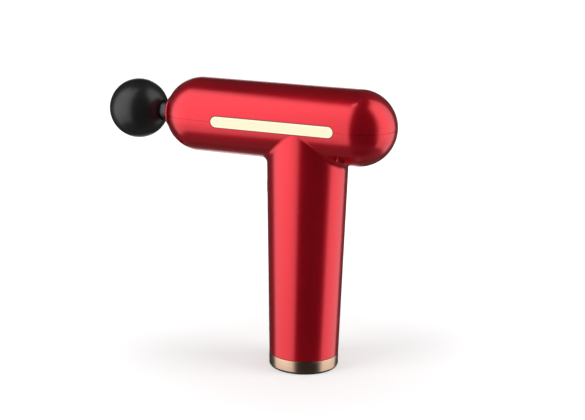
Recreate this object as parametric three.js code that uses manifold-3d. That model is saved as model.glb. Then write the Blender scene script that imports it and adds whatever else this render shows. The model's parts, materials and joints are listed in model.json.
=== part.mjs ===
// Massage gun with a capsule barrel, a tapered grip and a push-in ball head.
// Millimetres, +Z up. The origin is the centre of the foot, on the grip's axis; the head points to -X.
import * as THREE from 'three';
import { mergeVertices } from 'three/addons/utils/BufferGeometryUtils.js';
import Module from 'manifold-3d';

const wasm = await Module();
wasm.setup();

// ---- Driving dimensions ----

// Barrel: a cylinder with two round domes, split along its middle plane.
const barrelRadius = 22;
const barrelStraight = 98.1;
const barrelHeight = 146;
const tailReach = 30.9;
const wall = 2.2;

// Grip: an oval under the barrel that tapers to a round foot.
const gripTopHalfX = 24;
const gripTopHalfY = 21.6;
const gripFootRadius = 20.7;

// Foot: a metal ring with a cover plate and a rubber pad inside it.
const footGap = 0.9;
const ringHeight = 7;
const ringWall = 1.4;
const lipWidth = 1.7;
const lipThickness = 1.6;
const coverThickness = 2;
const padThickness = 1;
const padRimInset = 0.5;

// Clearances between pieces that touch, and between pieces that run in each other.
const seat = 0.3;
const running = 0.3;

// Nose collar and its seal.
const collarRadius = 10.3;
const collarSink = 1;
const collarWeb = 3.6;
const collarEdge = 0.3;
const flangeExtra = 1.9;
const flangeThickness = 1.5;
const sealThickness = 3.3;

// Light strips, one on each side of the barrel.
const stripFrontInset = 15.3;
const stripBackInset = 7.8;
const stripHeight = 6.3;
const stripProud = 0.3;
const stripDepth = 3.4;
const ledBoardThickness = 1;
const ledBoardHeight = 6.8;
const ledBoardShort = 4;

// Case screws, driven upwards from deep holes under the barrel.
const screwFrontReach = 7.3;
const screwFrontY = 13.5;
const screwRearInset = 5.7;
const screwRearY = 14.4;
const screwHoleRadius = 2.8;
const screwHeadRadius = 2.4;
const screwHeadHeight = 1.7;
const screwShankRadius = 1.3;
const screwShoulder = 6.4;
const screwReach = 8.5;
const bossWall = 1.5;

// Motor: an outrunner under the crank, on the grip's axis.
const canRadius = 16;
const canWall = 1.1;
const canHeight = 15.5;
const canFloor = 1.5;
const magnetThickness = 1.1;
const magnetHeight = 11.5;
const airGap = 0.5;
const statorHeight = 10.5;
const statorTeeth = 12;
const statorLift = 2.2;
const statorHubWall = 2.6;
const toothTipDepth = 1.4;
const toothHalfShare = 0.3;
const toothTipHalfShare = 0.42;
const motorTubeRadius = 6.3;
const motorTubeBore = 5;
const motorFlangeRadius = 13.2;
const motorFlangeThickness = 2.5;
const shaftRadius = 2;
const bearingHeight = 3.5;
const motorScrewCircle = 10.5;
const motorScrewCount = 3;
const motorScrewRadius = 1.25;
const motorScrewHeadRadius = 2.3;
const motorScrewHeadHeight = 1.7;

// Crank, connecting rod and piston.
const crankThrow = 4;
const crankRadius = 9;
const counterweightRadius = 12.5;
const crankThickness = 3.3;
const rodThickness = 5;
const rodLength = 34;
const rodWidth = 6.6;
const rodBearingRadius = 6.5;
const rodEyeWall = 2.4;
const crankPinRadius = 3;
const crankPinHead = 1.6;
const crankPinHeadExtra = 1.2;
const crankPinHoleRadius = 1.25;
const crankFloor = 1;
const wristPinRadius = 2;
const wristPinShort = 1;
const wristEyeRadius = 4.2;
const pistonRadius = 6;
const pistonRearReach = 6;
const forkDepth = 6.5;
const socketPlay = 0.4;
const socketDepth = 26.6;

// Drive frame: a deck under the piston, a guide tube in front and a bulkhead behind.
const deckThickness = 3;
const deckHalfWidth = 13;
const deckTailLength = 13;
const deckTailHalfWidth = 6;
const deckBelowPiston = 0.9;
const guideTubeWall = 3;
const guideTubeLength = 23;
const bushWall = 2.3;
const bushLead = 0.6;
const bulkheadMargin = 0.34;
const bulkheadGap = 0.5;
const bulkheadThickness = 3;
const damperThickness = 6;
const damperInset = 3.5;
const rearDamperThickness = 3;

// Ball head on its stem.
const ballRadius = 17.8;
const headGap = 4.2;
const ballFlatMargin = 0.4;
const ballWall = 3;
const ballBossWall = 2.5;
const stemRadius = 4;
const stemInBall = 18;
const stemChamfer = 0.6;
const oringRadius = 0.6;
const oringBack = 19;

// Battery: two 18650 cells side by side between two trays.
const cellRadius = 9.15;
const cellLength = 65;
const cellGap = 0.5;
const cellFloor = 31;
const trayFloor = 2;
const trayGrip = 4;
const linkThickness = 0.4;
const linkHalfWidth = 3;

// Boards.
const boardThickness = 1.6;
const controlBoardY = 12.6;
const chipHeight = 1.8;
const chipRoot = 0.5;
const controller = { halfWidth: 4, low: 8, high: 16 };
const driver = { halfWidth: 6, low: 22, high: 28 };
const coil = { radius: 3, low: 33, high: 39 };

// Charging socket in the foot, and the recess that takes the plug.
const portX = 9.5;
const portWidth = 8.94;
const portThickness = 3.26;
const portDepth = 7.3;
const portWallThickness = 0.4;
const portMouth = 5;
const portFloor = 1.2;
const tongueThickness = 0.7;
const tongueInset = 0.8;
const tongueShort = 0.5;
const recessWidth = 12.6;
const recessThickness = 7;
const recessWall = 1.4;
const chargeBoardFront = 8;
const chargeBoardRear = 4.5;
const chargeBoardHalf = 9;
const chargePostX = -5;
const chargePostY = 6;
const chargePostRadius = 1.8;

// Foot screws.
const footScrewY = 15.2;
const footBossHeight = 18;
const footScrewReach = 9;
const footHeadRecess = 1;
const footHeadLift = 0.1;

// Power button on the front of the grip.
const buttonDrop = 38;
const buttonRadius = 5;
const bezelWall = 1.3;
const bezelProud = 0.25;
const buttonProud = 0.15;
const buttonDepth = 2.9;
const buttonTravel = 0.5;
const buttonStemRadius = 1.5;
const buttonStemReach = 0.8;
const plungerRadius = 1.7;
const plungerHeight = 0.5;
const switchSize = 6;
const switchHeight = 3;
const buttonBoardHeight = 12;

// Steps round a full circle.
const fineSteps = 32;
const roundSteps = 20;
const smallSteps = 12;
const domeSteps = 6;

// ---- Derived places ----

const noseX = tailReach - barrelStraight;
const innerRadius = barrelRadius - wall;
const gripTopZ = barrelHeight - barrelRadius;
const ringTopZ = footGap + ringHeight;
const gripFootZ = ringTopZ + seat;
const stripLength = barrelStraight - stripFrontInset - stripBackInset;
const stripCentreX = noseX + stripFrontInset + stripLength / 2;
const lowerEdgeZ = barrelHeight - seat / 2;
const upperEdgeZ = barrelHeight + seat / 2;
const beyond = 400;

// ---- Shape helpers ----

// A closed three.js geometry as a solid that can be joined and cut.
function solid(geometry) {
  const bare = geometry.index ? geometry.toNonIndexed() : geometry.clone();
  bare.deleteAttribute('normal');
  bare.deleteAttribute('uv');
  const merged = mergeVertices(bare, 1e-4);
  const at = merged.getAttribute('position');
  const index = merged.getIndex().array;
  const kept = [];
  const a = new THREE.Vector3();
  const b = new THREE.Vector3();
  const c = new THREE.Vector3();
  let volume = 0;
  for (let i = 0; i < index.length; i += 3) {
    const [p, q, r] = [index[i], index[i + 1], index[i + 2]];
    if (p === q || q === r || r === p) continue;
    kept.push(p, q, r);
    a.fromBufferAttribute(at, p);
    b.fromBufferAttribute(at, q);
    c.fromBufferAttribute(at, r);
    volume += a.dot(b.cross(c));
  }
  if (volume < 0) kept.reverse();
  const mesh = new wasm.Mesh({
    numProp: 3,
    vertProperties: new Float32Array(at.array),
    triVerts: new Uint32Array(kept),
  });
  return new wasm.Manifold(mesh);
}

function geometryOf(shape) {
  const mesh = shape.getMesh();
  const geometry = new THREE.BufferGeometry();
  geometry.setAttribute('position', new THREE.BufferAttribute(mesh.vertProperties, 3));
  geometry.setIndex(new THREE.BufferAttribute(mesh.triVerts, 1));
  geometry.computeVertexNormals();
  return geometry;
}

// A profile of [radius, height] points turned about Z. It closes on itself unless it ends on the axis.
function turnedGeometry(profile, steps) {
  const points = profile.map(([r, h]) => new THREE.Vector2(r, h));
  const last = profile[profile.length - 1];
  if (profile[0][0] > 0 || last[0] > 0) points.push(points[0].clone());
  return new THREE.LatheGeometry(points, steps).rotateX(Math.PI / 2);
}

function turned(profile, steps = roundSteps, x = 0, y = 0) {
  return solid(turnedGeometry(profile, steps).translate(x, y, 0));
}

// The same, turned about the barrel's axis: the points are [radius, x].
function turnedOnBarrel(profile, steps = roundSteps) {
  return solid(turnedGeometry(profile, steps).rotateY(Math.PI / 2).translate(0, 0, barrelHeight));
}

function rod(radius, z0, z1, x = 0, y = 0, steps = roundSteps) {
  return turned([[0, z0], [radius, z0], [radius, z1], [0, z1]], steps, x, y);
}

function tube(outer, inner, z0, z1, x = 0, y = 0, steps = roundSteps) {
  return turned([[inner, z0], [outer, z0], [outer, z1], [inner, z1]], steps, x, y);
}

function rodOnBarrel(radius, x0, x1, steps = roundSteps) {
  return turnedOnBarrel([[0, x0], [radius, x0], [radius, x1], [0, x1]], steps);
}

function tubeOnBarrel(outer, inner, x0, x1, steps = roundSteps) {
  return turnedOnBarrel([[inner, x0], [outer, x0], [outer, x1], [inner, x1]], steps);
}

// A short rod along X, centred at y = 0 and height z.
function rodAlongX(radius, x0, x1, z, steps = roundSteps) {
  const profile = [[0, x0], [radius, x0], [radius, x1], [0, x1]];
  return solid(turnedGeometry(profile, steps).rotateY(Math.PI / 2).translate(0, 0, z));
}

function block(x0, x1, y0, y1, z0, z1) {
  const box = new THREE.BoxGeometry(x1 - x0, y1 - y0, z1 - z0);
  return solid(box.translate((x0 + x1) / 2, (y0 + y1) / 2, (z0 + z1) / 2));
}

function plate(outline, z0, z1, curveSegments = 12) {
  const geometry = new THREE.ExtrudeGeometry(outline, { depth: z1 - z0, bevelEnabled: false, curveSegments });
  return solid(geometry.translate(0, 0, z0));
}

// Both domes and the straight part of the barrel, with every wall moved in by inset.
function capsule(inset) {
  const radius = barrelRadius - inset;
  const profile = [];
  for (const [centre, from] of [[noseX, -Math.PI / 2], [tailReach, 0]]) {
    for (let i = 0; i <= domeSteps; i += 1) {
      const angle = from + (i / domeSteps) * (Math.PI / 2);
      profile.push([Math.max(radius * Math.cos(angle), 0), centre + radius * Math.sin(angle)]);
    }
  }
  profile[0][0] = 0;
  profile[profile.length - 1][0] = 0;
  return turnedOnBarrel(profile, fineSteps);
}

// Half widths of the grip's oval at height z.
function gripHalfX(z) {
  return gripFootRadius + ((gripTopHalfX - gripFootRadius) * (z - ringTopZ)) / (gripTopZ - ringTopZ);
}

function gripHalfY(z) {
  return gripFootRadius + ((gripTopHalfY - gripFootRadius) * (z - ringTopZ)) / (gripTopZ - ringTopZ);
}

// The grip's tapered oval between two heights, with its wall moved in by inset.
function gripColumn(inset, z0, z1) {
  const geometry = new THREE.CylinderGeometry(1, 1, z1 - z0, fineSteps).rotateX(Math.PI / 2);
  geometry.translate(0, 0, (z0 + z1) / 2);
  const at = geometry.getAttribute('position');
  for (let i = 0; i < at.count; i += 1) {
    const z = at.getZ(i);
    at.setX(i, at.getX(i) * (gripHalfX(z) - inset));
    at.setY(i, at.getY(i) * (gripHalfY(z) - inset));
  }
  return solid(geometry);
}

// A bar with round ends on the barrel's middle plane, running through one side wall.
function sideSlot(side, length, height, y0, y1) {
  const half = height / 2;
  const straight = length / 2 - half;
  const outline = new THREE.Shape();
  outline.absarc(straight, 0, half, -Math.PI / 2, Math.PI / 2);
  outline.absarc(-straight, 0, half, Math.PI / 2, (3 * Math.PI) / 2);
  const settings = { depth: y1 - y0, bevelEnabled: false, curveSegments: 10 };
  const geometry = new THREE.ExtrudeGeometry(outline, settings);
  geometry.rotateX(Math.PI / 2).translate(stripCentreX, side > 0 ? y1 : -y0, barrelHeight);
  return solid(geometry);
}

const group = new THREE.Group();

function part(name, shape, color, roughness, metalness) {
  const material = new THREE.MeshStandardMaterial({ color, roughness, metalness });
  const mesh = new THREE.Mesh(geometryOf(shape), material);
  mesh.name = name;
  group.add(mesh);
}

// ---- Casing ----

const screwFrontX = noseX - screwFrontReach;
const screwRearX = tailReach - screwRearInset;
const caseScrews = [
  { x: screwFrontX, y: -screwFrontY },
  { x: screwFrontX, y: screwFrontY },
  { x: screwRearX, y: -screwRearY },
  { x: screwRearX, y: screwRearY },
];
const screwShoulderZ = barrelHeight - screwShoulder;
const shankHole = screwShankRadius + seat;
const noseHole = collarRadius + seat;
const bezelHole = buttonRadius + running + bezelWall + seat;
const buttonZ = barrelHeight - buttonDrop;
const stripInnerY = barrelRadius - stripDepth + stripProud;

const outerCapsule = capsule(0);
const innerCapsule = capsule(wall);
const slots = sideSlot(-1, stripLength + 2 * seat, stripHeight + 2 * seat, 0, barrelRadius * 2)
  .add(sideSlot(1, stripLength + 2 * seat, stripHeight + 2 * seat, 0, barrelRadius * 2));
const noseCut = rodOnBarrel(noseHole, noseX - barrelRadius * 2, noseX, fineSteps);

function upperShell() {
  const above = block(-beyond, beyond, -beyond, beyond, upperEdgeZ, beyond);
  let shell = outerCapsule.subtract(innerCapsule);
  for (const { x, y } of caseScrews) {
    const boss = rod(shankHole + bossWall, upperEdgeZ, barrelHeight + barrelRadius, x, y, smallSteps);
    shell = shell.add(boss.intersect(outerCapsule));
  }
  shell = shell.intersect(above).subtract(noseCut).subtract(slots);
  for (const { x, y } of caseScrews) {
    const holeTop = barrelHeight + screwReach + 2 * seat;
    shell = shell.subtract(rod(shankHole, barrelHeight, holeTop, x, y, smallSteps));
  }
  return shell;
}

function lowerBody() {
  const below = block(-beyond, beyond, -beyond, beyond, -beyond, lowerEdgeZ);
  let shell = outerCapsule.add(gripColumn(0, gripFootZ, barrelHeight));
  shell = shell.subtract(innerCapsule).subtract(gripColumn(wall, gripFootZ - 1, barrelHeight));
  for (const { x, y } of caseScrews) {
    const post = rod(screwHoleRadius + bossWall, gripTopZ, lowerEdgeZ - seat, x, y, smallSteps + 4);
    shell = shell.add(post.intersect(outerCapsule));
  }
  for (const y of [-footScrewY, footScrewY]) {
    const boss = rod(shankHole + bossWall + seat, gripFootZ, gripFootZ + footBossHeight, 0, y, smallSteps);
    shell = shell.add(boss.intersect(gripColumn(wall / 2, gripFootZ, barrelHeight)));
  }
  shell = shell.intersect(below).subtract(noseCut).subtract(slots);
  for (const { x, y } of caseScrews) {
    shell = shell.subtract(rod(screwHoleRadius, gripTopZ - 1, screwShoulderZ, x, y, smallSteps + 4));
    shell = shell.subtract(rod(shankHole, screwShoulderZ - 1, barrelHeight, x, y, smallSteps));
  }
  for (const y of [-footScrewY, footScrewY]) {
    const holeTop = ringTopZ + footScrewReach + 2 * seat;
    shell = shell.subtract(rod(shankHole, gripFootZ - 1, holeTop, 0, y, smallSteps));
  }
  return shell.subtract(rodAlongX(bezelHole, -gripTopHalfX * 2, -gripFootRadius / 2, buttonZ));
}

const paintRed = 0xb3122a;
part('upper_shell', upperShell(), paintRed, 0.28, 0.6);
part('lower_body', lowerBody(), paintRed, 0.28, 0.6);

caseScrews.forEach(({ x, y }, i) => {
  const head = screwShoulderZ - seat;
  const profile = [
    [0, head - screwHeadHeight],
    [screwHeadRadius, head - screwHeadHeight],
    [screwHeadRadius, head],
    [screwShankRadius, head],
    [screwShankRadius, barrelHeight + screwReach],
    [0, barrelHeight + screwReach],
  ];
  part(`case_screw_${i + 1}`, turned(profile, smallSteps, x, y), 0x33343a, 0.4, 0.9);
});

// ---- Nose ----

const poleX = noseX - barrelRadius;
const collarFaceX = poleX + collarSink;
const collarWebBack = collarFaceX + collarWeb;
const flangeRadius = collarRadius + flangeExtra;
const flangeX = noseX - Math.sqrt((innerRadius - seat * 2) ** 2 - flangeRadius ** 2);
const neckHole = pistonRadius + 3 * running;
const sealPocket = collarRadius - 1;
const collarProfile = [
  [neckHole, collarFaceX],
  [collarRadius - collarEdge, collarFaceX],
  [collarRadius, collarFaceX + collarEdge],
  [collarRadius, flangeX],
  [flangeRadius, flangeX],
  [flangeRadius, flangeX + flangeThickness],
  [sealPocket, flangeX + flangeThickness],
  [sealPocket, collarWebBack],
  [neckHole, collarWebBack],
];
part('nose_collar', turnedOnBarrel(collarProfile, fineSteps), 0x9c0f24, 0.3, 0.6);

const sealX = collarWebBack + seat;
part('nose_seal', tubeOnBarrel(sealPocket - seat, pistonRadius + running, sealX, sealX + sealThickness),
  0x1a1a1a, 0.8, 0);

// ---- Light strips ----

for (const [side, name] of [[-1, 'left'], [1, 'right']]) {
  const bar = sideSlot(side, stripLength, stripHeight, stripInnerY, barrelRadius * 2);
  part(`light_strip_${name}`, bar.intersect(capsule(-stripProud)), 0xfff0d0, 0.35, 0);
  const half = stripLength / 2 - ledBoardShort;
  const outerY = stripInnerY - seat;
  const near = side > 0 ? outerY - ledBoardThickness : -outerY;
  const x0 = stripCentreX - half;
  const x1 = stripCentreX + half;
  const z0 = barrelHeight - ledBoardHeight / 2;
  part(`led_board_${name}`, block(x0, x1, near, near + ledBoardThickness, z0, z0 + ledBoardHeight),
    0xe8e8e0, 0.6, 0);
}

// ---- Drive frame and its rubber dampers ----

// The stack under the barrel's axis: the rod, the crank disc, then the deck that carries the motor.
const rodBottom = barrelHeight - rodThickness / 2;
const rodTop = rodBottom + rodThickness;
const crankTop = rodBottom - 2 * running;
const crankBottom = crankTop - crankThickness;
const deckTop = crankBottom - 2 * running;
const deckBottom = deckTop - deckThickness;
const bushRadius = pistonRadius + running + bushWall;
const guideBore = bushRadius + seat;
const guideRadius = guideBore + guideTubeWall;
const guideTubeFront = screwFrontX + screwHoleRadius + bossWall + 2 * seat;
const guideTubeBack = guideTubeFront + guideTubeLength;
const bulkheadX = tailReach + bulkheadGap;
const bulkheadRadius = Math.hypot(deckTailHalfWidth, barrelHeight - deckBottom) + bulkheadMargin;
const deckTailX = bulkheadX - deckTailLength;
const motorFlangeTop = deckBottom - seat;
const motorScrews = [];
for (let i = 0; i < motorScrewCount; i += 1) {
  const angle = Math.PI / 2 + (i * 2 * Math.PI) / motorScrewCount;
  motorScrews.push({ x: motorScrewCircle * Math.cos(angle), y: motorScrewCircle * Math.sin(angle) });
}

function driveFrame() {
  const guide = rodOnBarrel(guideRadius, guideTubeFront, guideTubeBack);
  const bulkhead = rodOnBarrel(bulkheadRadius, bulkheadX, bulkheadX + bulkheadThickness);
  const deck = block(guideTubeBack - guideTubeWall, deckTailX,
    -deckHalfWidth, deckHalfWidth, deckBottom, deckTop);
  const tail = block(deckTailX - 1, bulkheadX + 1,
    -deckTailHalfWidth, deckTailHalfWidth, deckBottom, deckTop);
  const trough = rodOnBarrel(pistonRadius + deckBelowPiston, guideTubeBack, bulkheadX);
  let frame = guide.add(bulkhead).add(deck.subtract(trough)).add(tail.subtract(trough));
  frame = frame.subtract(rodOnBarrel(guideBore, guideTubeFront - 1, guideTubeBack + 1));
  frame = frame.subtract(rod(shaftRadius + 3 * running, deckBottom - 1, deckTop + 1, 0, 0, smallSteps));
  for (const { x, y } of motorScrews) {
    const pocketZ = deckTop - motorScrewHeadHeight - 2 * seat;
    frame = frame.subtract(rod(motorScrewRadius + seat, deckBottom - 1, deckTop + 1, x, y, smallSteps));
    frame = frame.subtract(rod(motorScrewHeadRadius + seat, pocketZ, deckTop + 1, x, y, smallSteps));
  }
  return frame;
}

part('drive_frame', driveFrame(), 0x8d9096, 0.45, 0.8);
part('guide_bush',
  tubeOnBarrel(bushRadius, pistonRadius + running, guideTubeFront - bushLead, guideTubeBack),
  0xc9a15a, 0.35, 0.8);

const damperRadius = innerRadius - seat;
const damperBack = guideTubeFront + damperInset + damperThickness;
part('frame_damper_front',
  tubeOnBarrel(damperRadius, guideRadius + seat, damperBack - damperThickness, damperBack, fineSteps),
  0x1c1c1e, 0.85, 0);
const rearDamperBack = bulkheadX + rearDamperThickness;
const rearDamperRadius = Math.sqrt(innerRadius ** 2 - (rearDamperBack - tailReach) ** 2) - 2 * seat;
part('frame_damper_rear',
  tubeOnBarrel(rearDamperRadius, bulkheadRadius + seat, bulkheadX, rearDamperBack, fineSteps),
  0x1c1c1e, 0.85, 0);

// ---- Motor ----

const motorFlangeBottom = motorFlangeTop - motorFlangeThickness;
const canTop = motorFlangeBottom - 3 * running;
const canBottom = canTop - canHeight;
const motorTubeBottom = canBottom + canFloor + 4 * running;
const mountProfile = [
  [motorTubeBore, motorTubeBottom],
  [motorTubeRadius, motorTubeBottom],
  [motorTubeRadius, motorFlangeBottom],
  [motorFlangeRadius, motorFlangeBottom],
  [motorFlangeRadius, motorFlangeTop],
  [motorTubeBore, motorFlangeTop],
];

function motorMount() {
  let mount = turned(mountProfile);
  for (const { x, y } of motorScrews) {
    mount = mount.subtract(
      rod(motorScrewRadius + seat, motorFlangeBottom - 1, motorFlangeTop + 1, x, y, smallSteps));
  }
  return mount;
}

part('motor_mount', motorMount(), 0xb8bac0, 0.35, 0.9);

motorScrews.forEach(({ x, y }, i) => {
  const headTop = deckTop - seat;
  const headBottom = headTop - motorScrewHeadHeight;
  const profile = [
    [0, motorFlangeBottom + seat],
    [motorScrewRadius, motorFlangeBottom + seat],
    [motorScrewRadius, headBottom],
    [motorScrewHeadRadius, headBottom],
    [motorScrewHeadRadius, headTop],
    [0, headTop],
  ];
  part(`motor_screw_${i + 1}`, turned(profile, smallSteps, x, y), 0x33343a, 0.4, 0.9);
});

const bearingBore = shaftRadius + running;
const bearingRadius = motorTubeBore - seat;
part('motor_bearing_lower',
  tube(bearingRadius, bearingBore, motorTubeBottom, motorTubeBottom + bearingHeight), 0xc4c6ca, 0.25, 1);
part('motor_bearing_upper',
  tube(bearingRadius, bearingBore, motorFlangeTop - bearingHeight, motorFlangeTop), 0xc4c6ca, 0.25, 1);

// The stator: a laminated ring with wound teeth, the slots between them left open.
const magnetOuter = canRadius - canWall - seat;
const magnetInner = magnetOuter - magnetThickness;
const statorRadius = magnetInner - airGap;
const statorZ = canBottom + canFloor + statorLift;

function statorShape() {
  const outline = new THREE.Shape();
  const hub = motorTubeRadius + statorHubWall;
  const neck = statorRadius - toothTipDepth;
  const pitch = (2 * Math.PI) / statorTeeth;
  for (let i = 0; i < statorTeeth; i += 1) {
    const middle = i * pitch;
    const stops = [
      [hub, -0.5],
      [hub, -toothHalfShare],
      [neck, -toothHalfShare],
      [statorRadius, -toothTipHalfShare],
      [statorRadius, 0],
      [statorRadius, toothTipHalfShare],
      [neck, toothHalfShare],
      [hub, toothHalfShare],
    ];
    for (const [radius, share] of stops) {
      const angle = middle + share * pitch;
      const x = radius * Math.cos(angle);
      const y = radius * Math.sin(angle);
      if (i === 0 && share === -0.5) outline.moveTo(x, y);
      else outline.lineTo(x, y);
    }
  }
  outline.closePath();
  const bore = rod(motorTubeRadius + seat, statorZ - 1, statorZ + statorHeight + 1);
  return plate(outline, statorZ, statorZ + statorHeight).subtract(bore);
}

part('motor_stator', statorShape(), 0xb5652e, 0.4, 0.7);

const canProfile = [
  [bearingBore, canBottom],
  [canRadius, canBottom],
  [canRadius, canTop],
  [canRadius - canWall, canTop],
  [canRadius - canWall, canBottom + canFloor],
  [bearingBore, canBottom + canFloor],
];
part('rotor_can', turned(canProfile, fineSteps), 0x5c5e64, 0.35, 0.9);
const magnetZ = canBottom + canFloor + seat;
part('rotor_magnets', tube(magnetOuter, magnetInner, magnetZ, magnetZ + magnetHeight), 0x303136, 0.5, 0.6);

part('motor_shaft', rod(shaftRadius, canBottom, crankTop - seat, 0, 0, smallSteps), 0xd0d2d6, 0.2, 1);

// ---- Crank: round on the pin side, a heavier half ring opposite the pin ----

function crankDisc() {
  const outline = new THREE.Shape();
  outline.absarc(0, 0, crankRadius, -Math.PI / 2, Math.PI / 2);
  outline.lineTo(0, counterweightRadius);
  outline.absarc(0, 0, counterweightRadius, Math.PI / 2, (3 * Math.PI) / 2);
  outline.closePath();
  const bore = rod(bearingBore, crankBottom - 1, crankTop + 1, 0, 0, smallSteps);
  const pinHole = rod(crankPinHoleRadius, crankBottom + crankFloor, crankTop + 1, crankThrow, 0, smallSteps);
  return plate(outline, crankBottom, crankTop, 20).subtract(bore).subtract(pinHole);
}

part('crank_disc', crankDisc(), 0xa4a7ad, 0.35, 0.9);

// ---- Connecting rod with its bearing and the crank pin ----

const wristX = crankThrow - rodLength;
const bigEyeRadius = rodBearingRadius + seat + rodEyeWall;

function connectingRod() {
  const bar = block(wristX, crankThrow, -rodWidth / 2, rodWidth / 2, rodBottom, rodTop);
  const bigEye = rod(bigEyeRadius, rodBottom, rodTop, crankThrow, 0);
  const smallEye = rod(wristEyeRadius, rodBottom, rodTop, wristX, 0);
  const bigHole = rod(rodBearingRadius + seat, rodBottom - 1, rodTop + 1, crankThrow, 0);
  const smallHole = rod(wristPinRadius + running, rodBottom - 1, rodTop + 1, wristX, 0, smallSteps);
  return bar.add(bigEye).add(smallEye).subtract(bigHole).subtract(smallHole);
}

part('connecting_rod', connectingRod(), 0x9b9ea5, 0.35, 0.9);
part('rod_bearing',
  tube(rodBearingRadius, crankPinRadius + seat, rodBottom, rodTop, crankThrow, 0), 0xc4c6ca, 0.25, 1);
const crankPinBottom = crankTop + running;
const crankPinProfile = [
  [0, crankPinBottom],
  [crankPinRadius, crankPinBottom],
  [crankPinRadius, rodTop + seat],
  [crankPinRadius + crankPinHeadExtra, rodTop + seat],
  [crankPinRadius + crankPinHeadExtra, rodTop + seat + crankPinHead],
  [0, rodTop + seat + crankPinHead],
];
part('crank_pin', turned(crankPinProfile, smallSteps, crankThrow, 0), 0x33343a, 0.35, 0.9);

// ---- Piston: a round bar, forked behind for the rod and bored in front for the head's stem ----

const ballX = collarFaceX - headGap - ballRadius;
const ballFlatRadius = pistonRadius + ballFlatMargin;
const socketRadius = stemRadius + socketPlay;
const ballFlatX = ballX + Math.sqrt(ballRadius ** 2 - ballFlatRadius ** 2) - seat;
const pistonFront = ballFlatX + seat;
const pistonBack = wristX + pistonRearReach;

function piston() {
  const gapBottom = rodBottom - running;
  const gapTop = rodTop + running;
  const bar = rodOnBarrel(pistonRadius, pistonFront, pistonBack);
  const fork = block(wristX - forkDepth, beyond, -beyond, beyond, gapBottom, gapTop);
  const socket = rodOnBarrel(socketRadius, pistonFront - 1, pistonFront + socketDepth);
  const pinHole = rod(wristPinRadius + seat, -beyond, beyond, wristX, 0, smallSteps);
  return bar.subtract(fork).subtract(socket).subtract(pinHole);
}

part('piston', piston(), 0x1b1b1d, 0.3, 0.5);
const wristPinHalf = pistonRadius - wristPinShort;
part('wrist_pin',
  rod(wristPinRadius, barrelHeight - wristPinHalf, barrelHeight + wristPinHalf, wristX, 0, smallSteps),
  0xd0d2d6, 0.2, 1);

// ---- Ball head with its stem and push-fit ring ----

const stemBack = pistonFront + socketDepth - 2 * seat;
const stemFront = ballFlatX - stemInBall;
const oringX = pistonFront + oringBack;
const oringMiddle = socketRadius - oringRadius - seat / 2;

// The ball is a hollow moulding with a boss inside it that grips the stem.
function headBall() {
  const profile = [];
  const last = 2 * domeSteps - 2;
  const cavity = [];
  for (let i = 0; i <= last; i += 1) {
    const angle = Math.PI - (Math.PI * i) / last;
    const radius = ballRadius - ballWall;
    cavity.push([Math.max(radius * Math.sin(angle), 0), ballX + radius * Math.cos(angle)]);
  }
  cavity[0][0] = 0;
  cavity[last][0] = 0;
  const flatAngle = Math.asin(ballFlatRadius / ballRadius);
  for (let i = 0; i <= last; i += 1) {
    const angle = Math.PI - ((Math.PI - flatAngle) * i) / last;
    profile.push([Math.max(ballRadius * Math.sin(angle), 0), ballX + ballRadius * Math.cos(angle)]);
  }
  profile[0][0] = 0;
  profile[last] = [ballFlatRadius, ballFlatX];
  profile.push([0, ballFlatX]);
  const boss = rodOnBarrel(stemRadius + seat + ballBossWall, stemFront + seat, ballFlatX);
  const hole = rodOnBarrel(stemRadius + seat, stemFront - 1, ballFlatX + 1);
  const shell = turnedOnBarrel(profile, fineSteps).subtract(turnedOnBarrel(cavity, fineSteps));
  return shell.add(boss).subtract(hole);
}

function headStem() {
  const grooveHalf = oringRadius + seat;
  const grooveRadius = oringMiddle - oringRadius - seat / 2;
  const profile = [
    [0, stemFront],
    [stemRadius, stemFront],
    [stemRadius, oringX - grooveHalf],
    [grooveRadius, oringX - grooveHalf],
    [grooveRadius, oringX + grooveHalf],
    [stemRadius, oringX + grooveHalf],
    [stemRadius, stemBack - stemChamfer],
    [stemRadius - stemChamfer, stemBack],
    [0, stemBack],
  ];
  return turnedOnBarrel(profile);
}

function stemRing() {
  const sides = 8;
  const profile = [];
  for (let i = 0; i < sides; i += 1) {
    const angle = ((i + 0.5) / sides) * 2 * Math.PI;
    profile.push([oringMiddle + oringRadius * Math.cos(angle), oringX + oringRadius * Math.sin(angle)]);
  }
  return turnedOnBarrel(profile);
}

part('head_ball', headBall(), 0x161616, 0.35, 0);
part('head_stem', headStem(), 0x2a2a2c, 0.4, 0.2);
part('stem_ring', stemRing(), 0x111111, 0.7, 0);

// ---- Battery ----

const cellX = cellRadius + cellGap / 2;
const pocketRadius = cellRadius + seat;
const lowerTrayZ = cellFloor - seat - trayFloor;
const lowerTrayTop = cellFloor + trayGrip;
const cellTop = cellFloor + cellLength;
const linkZ = cellTop + seat;
const upperTrayTop = linkZ + linkThickness + seat + trayFloor;
const upperTrayZ = cellTop - trayGrip;

function trayShape(z0, z1, pocketFrom, pocketTo) {
  const solidTray = gripColumn(wall + seat, z0, z1);
  const left = rod(pocketRadius, pocketFrom, pocketTo, -cellX, 0);
  const right = rod(pocketRadius, pocketFrom, pocketTo, cellX, 0);
  return solidTray.subtract(left).subtract(right);
}

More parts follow.
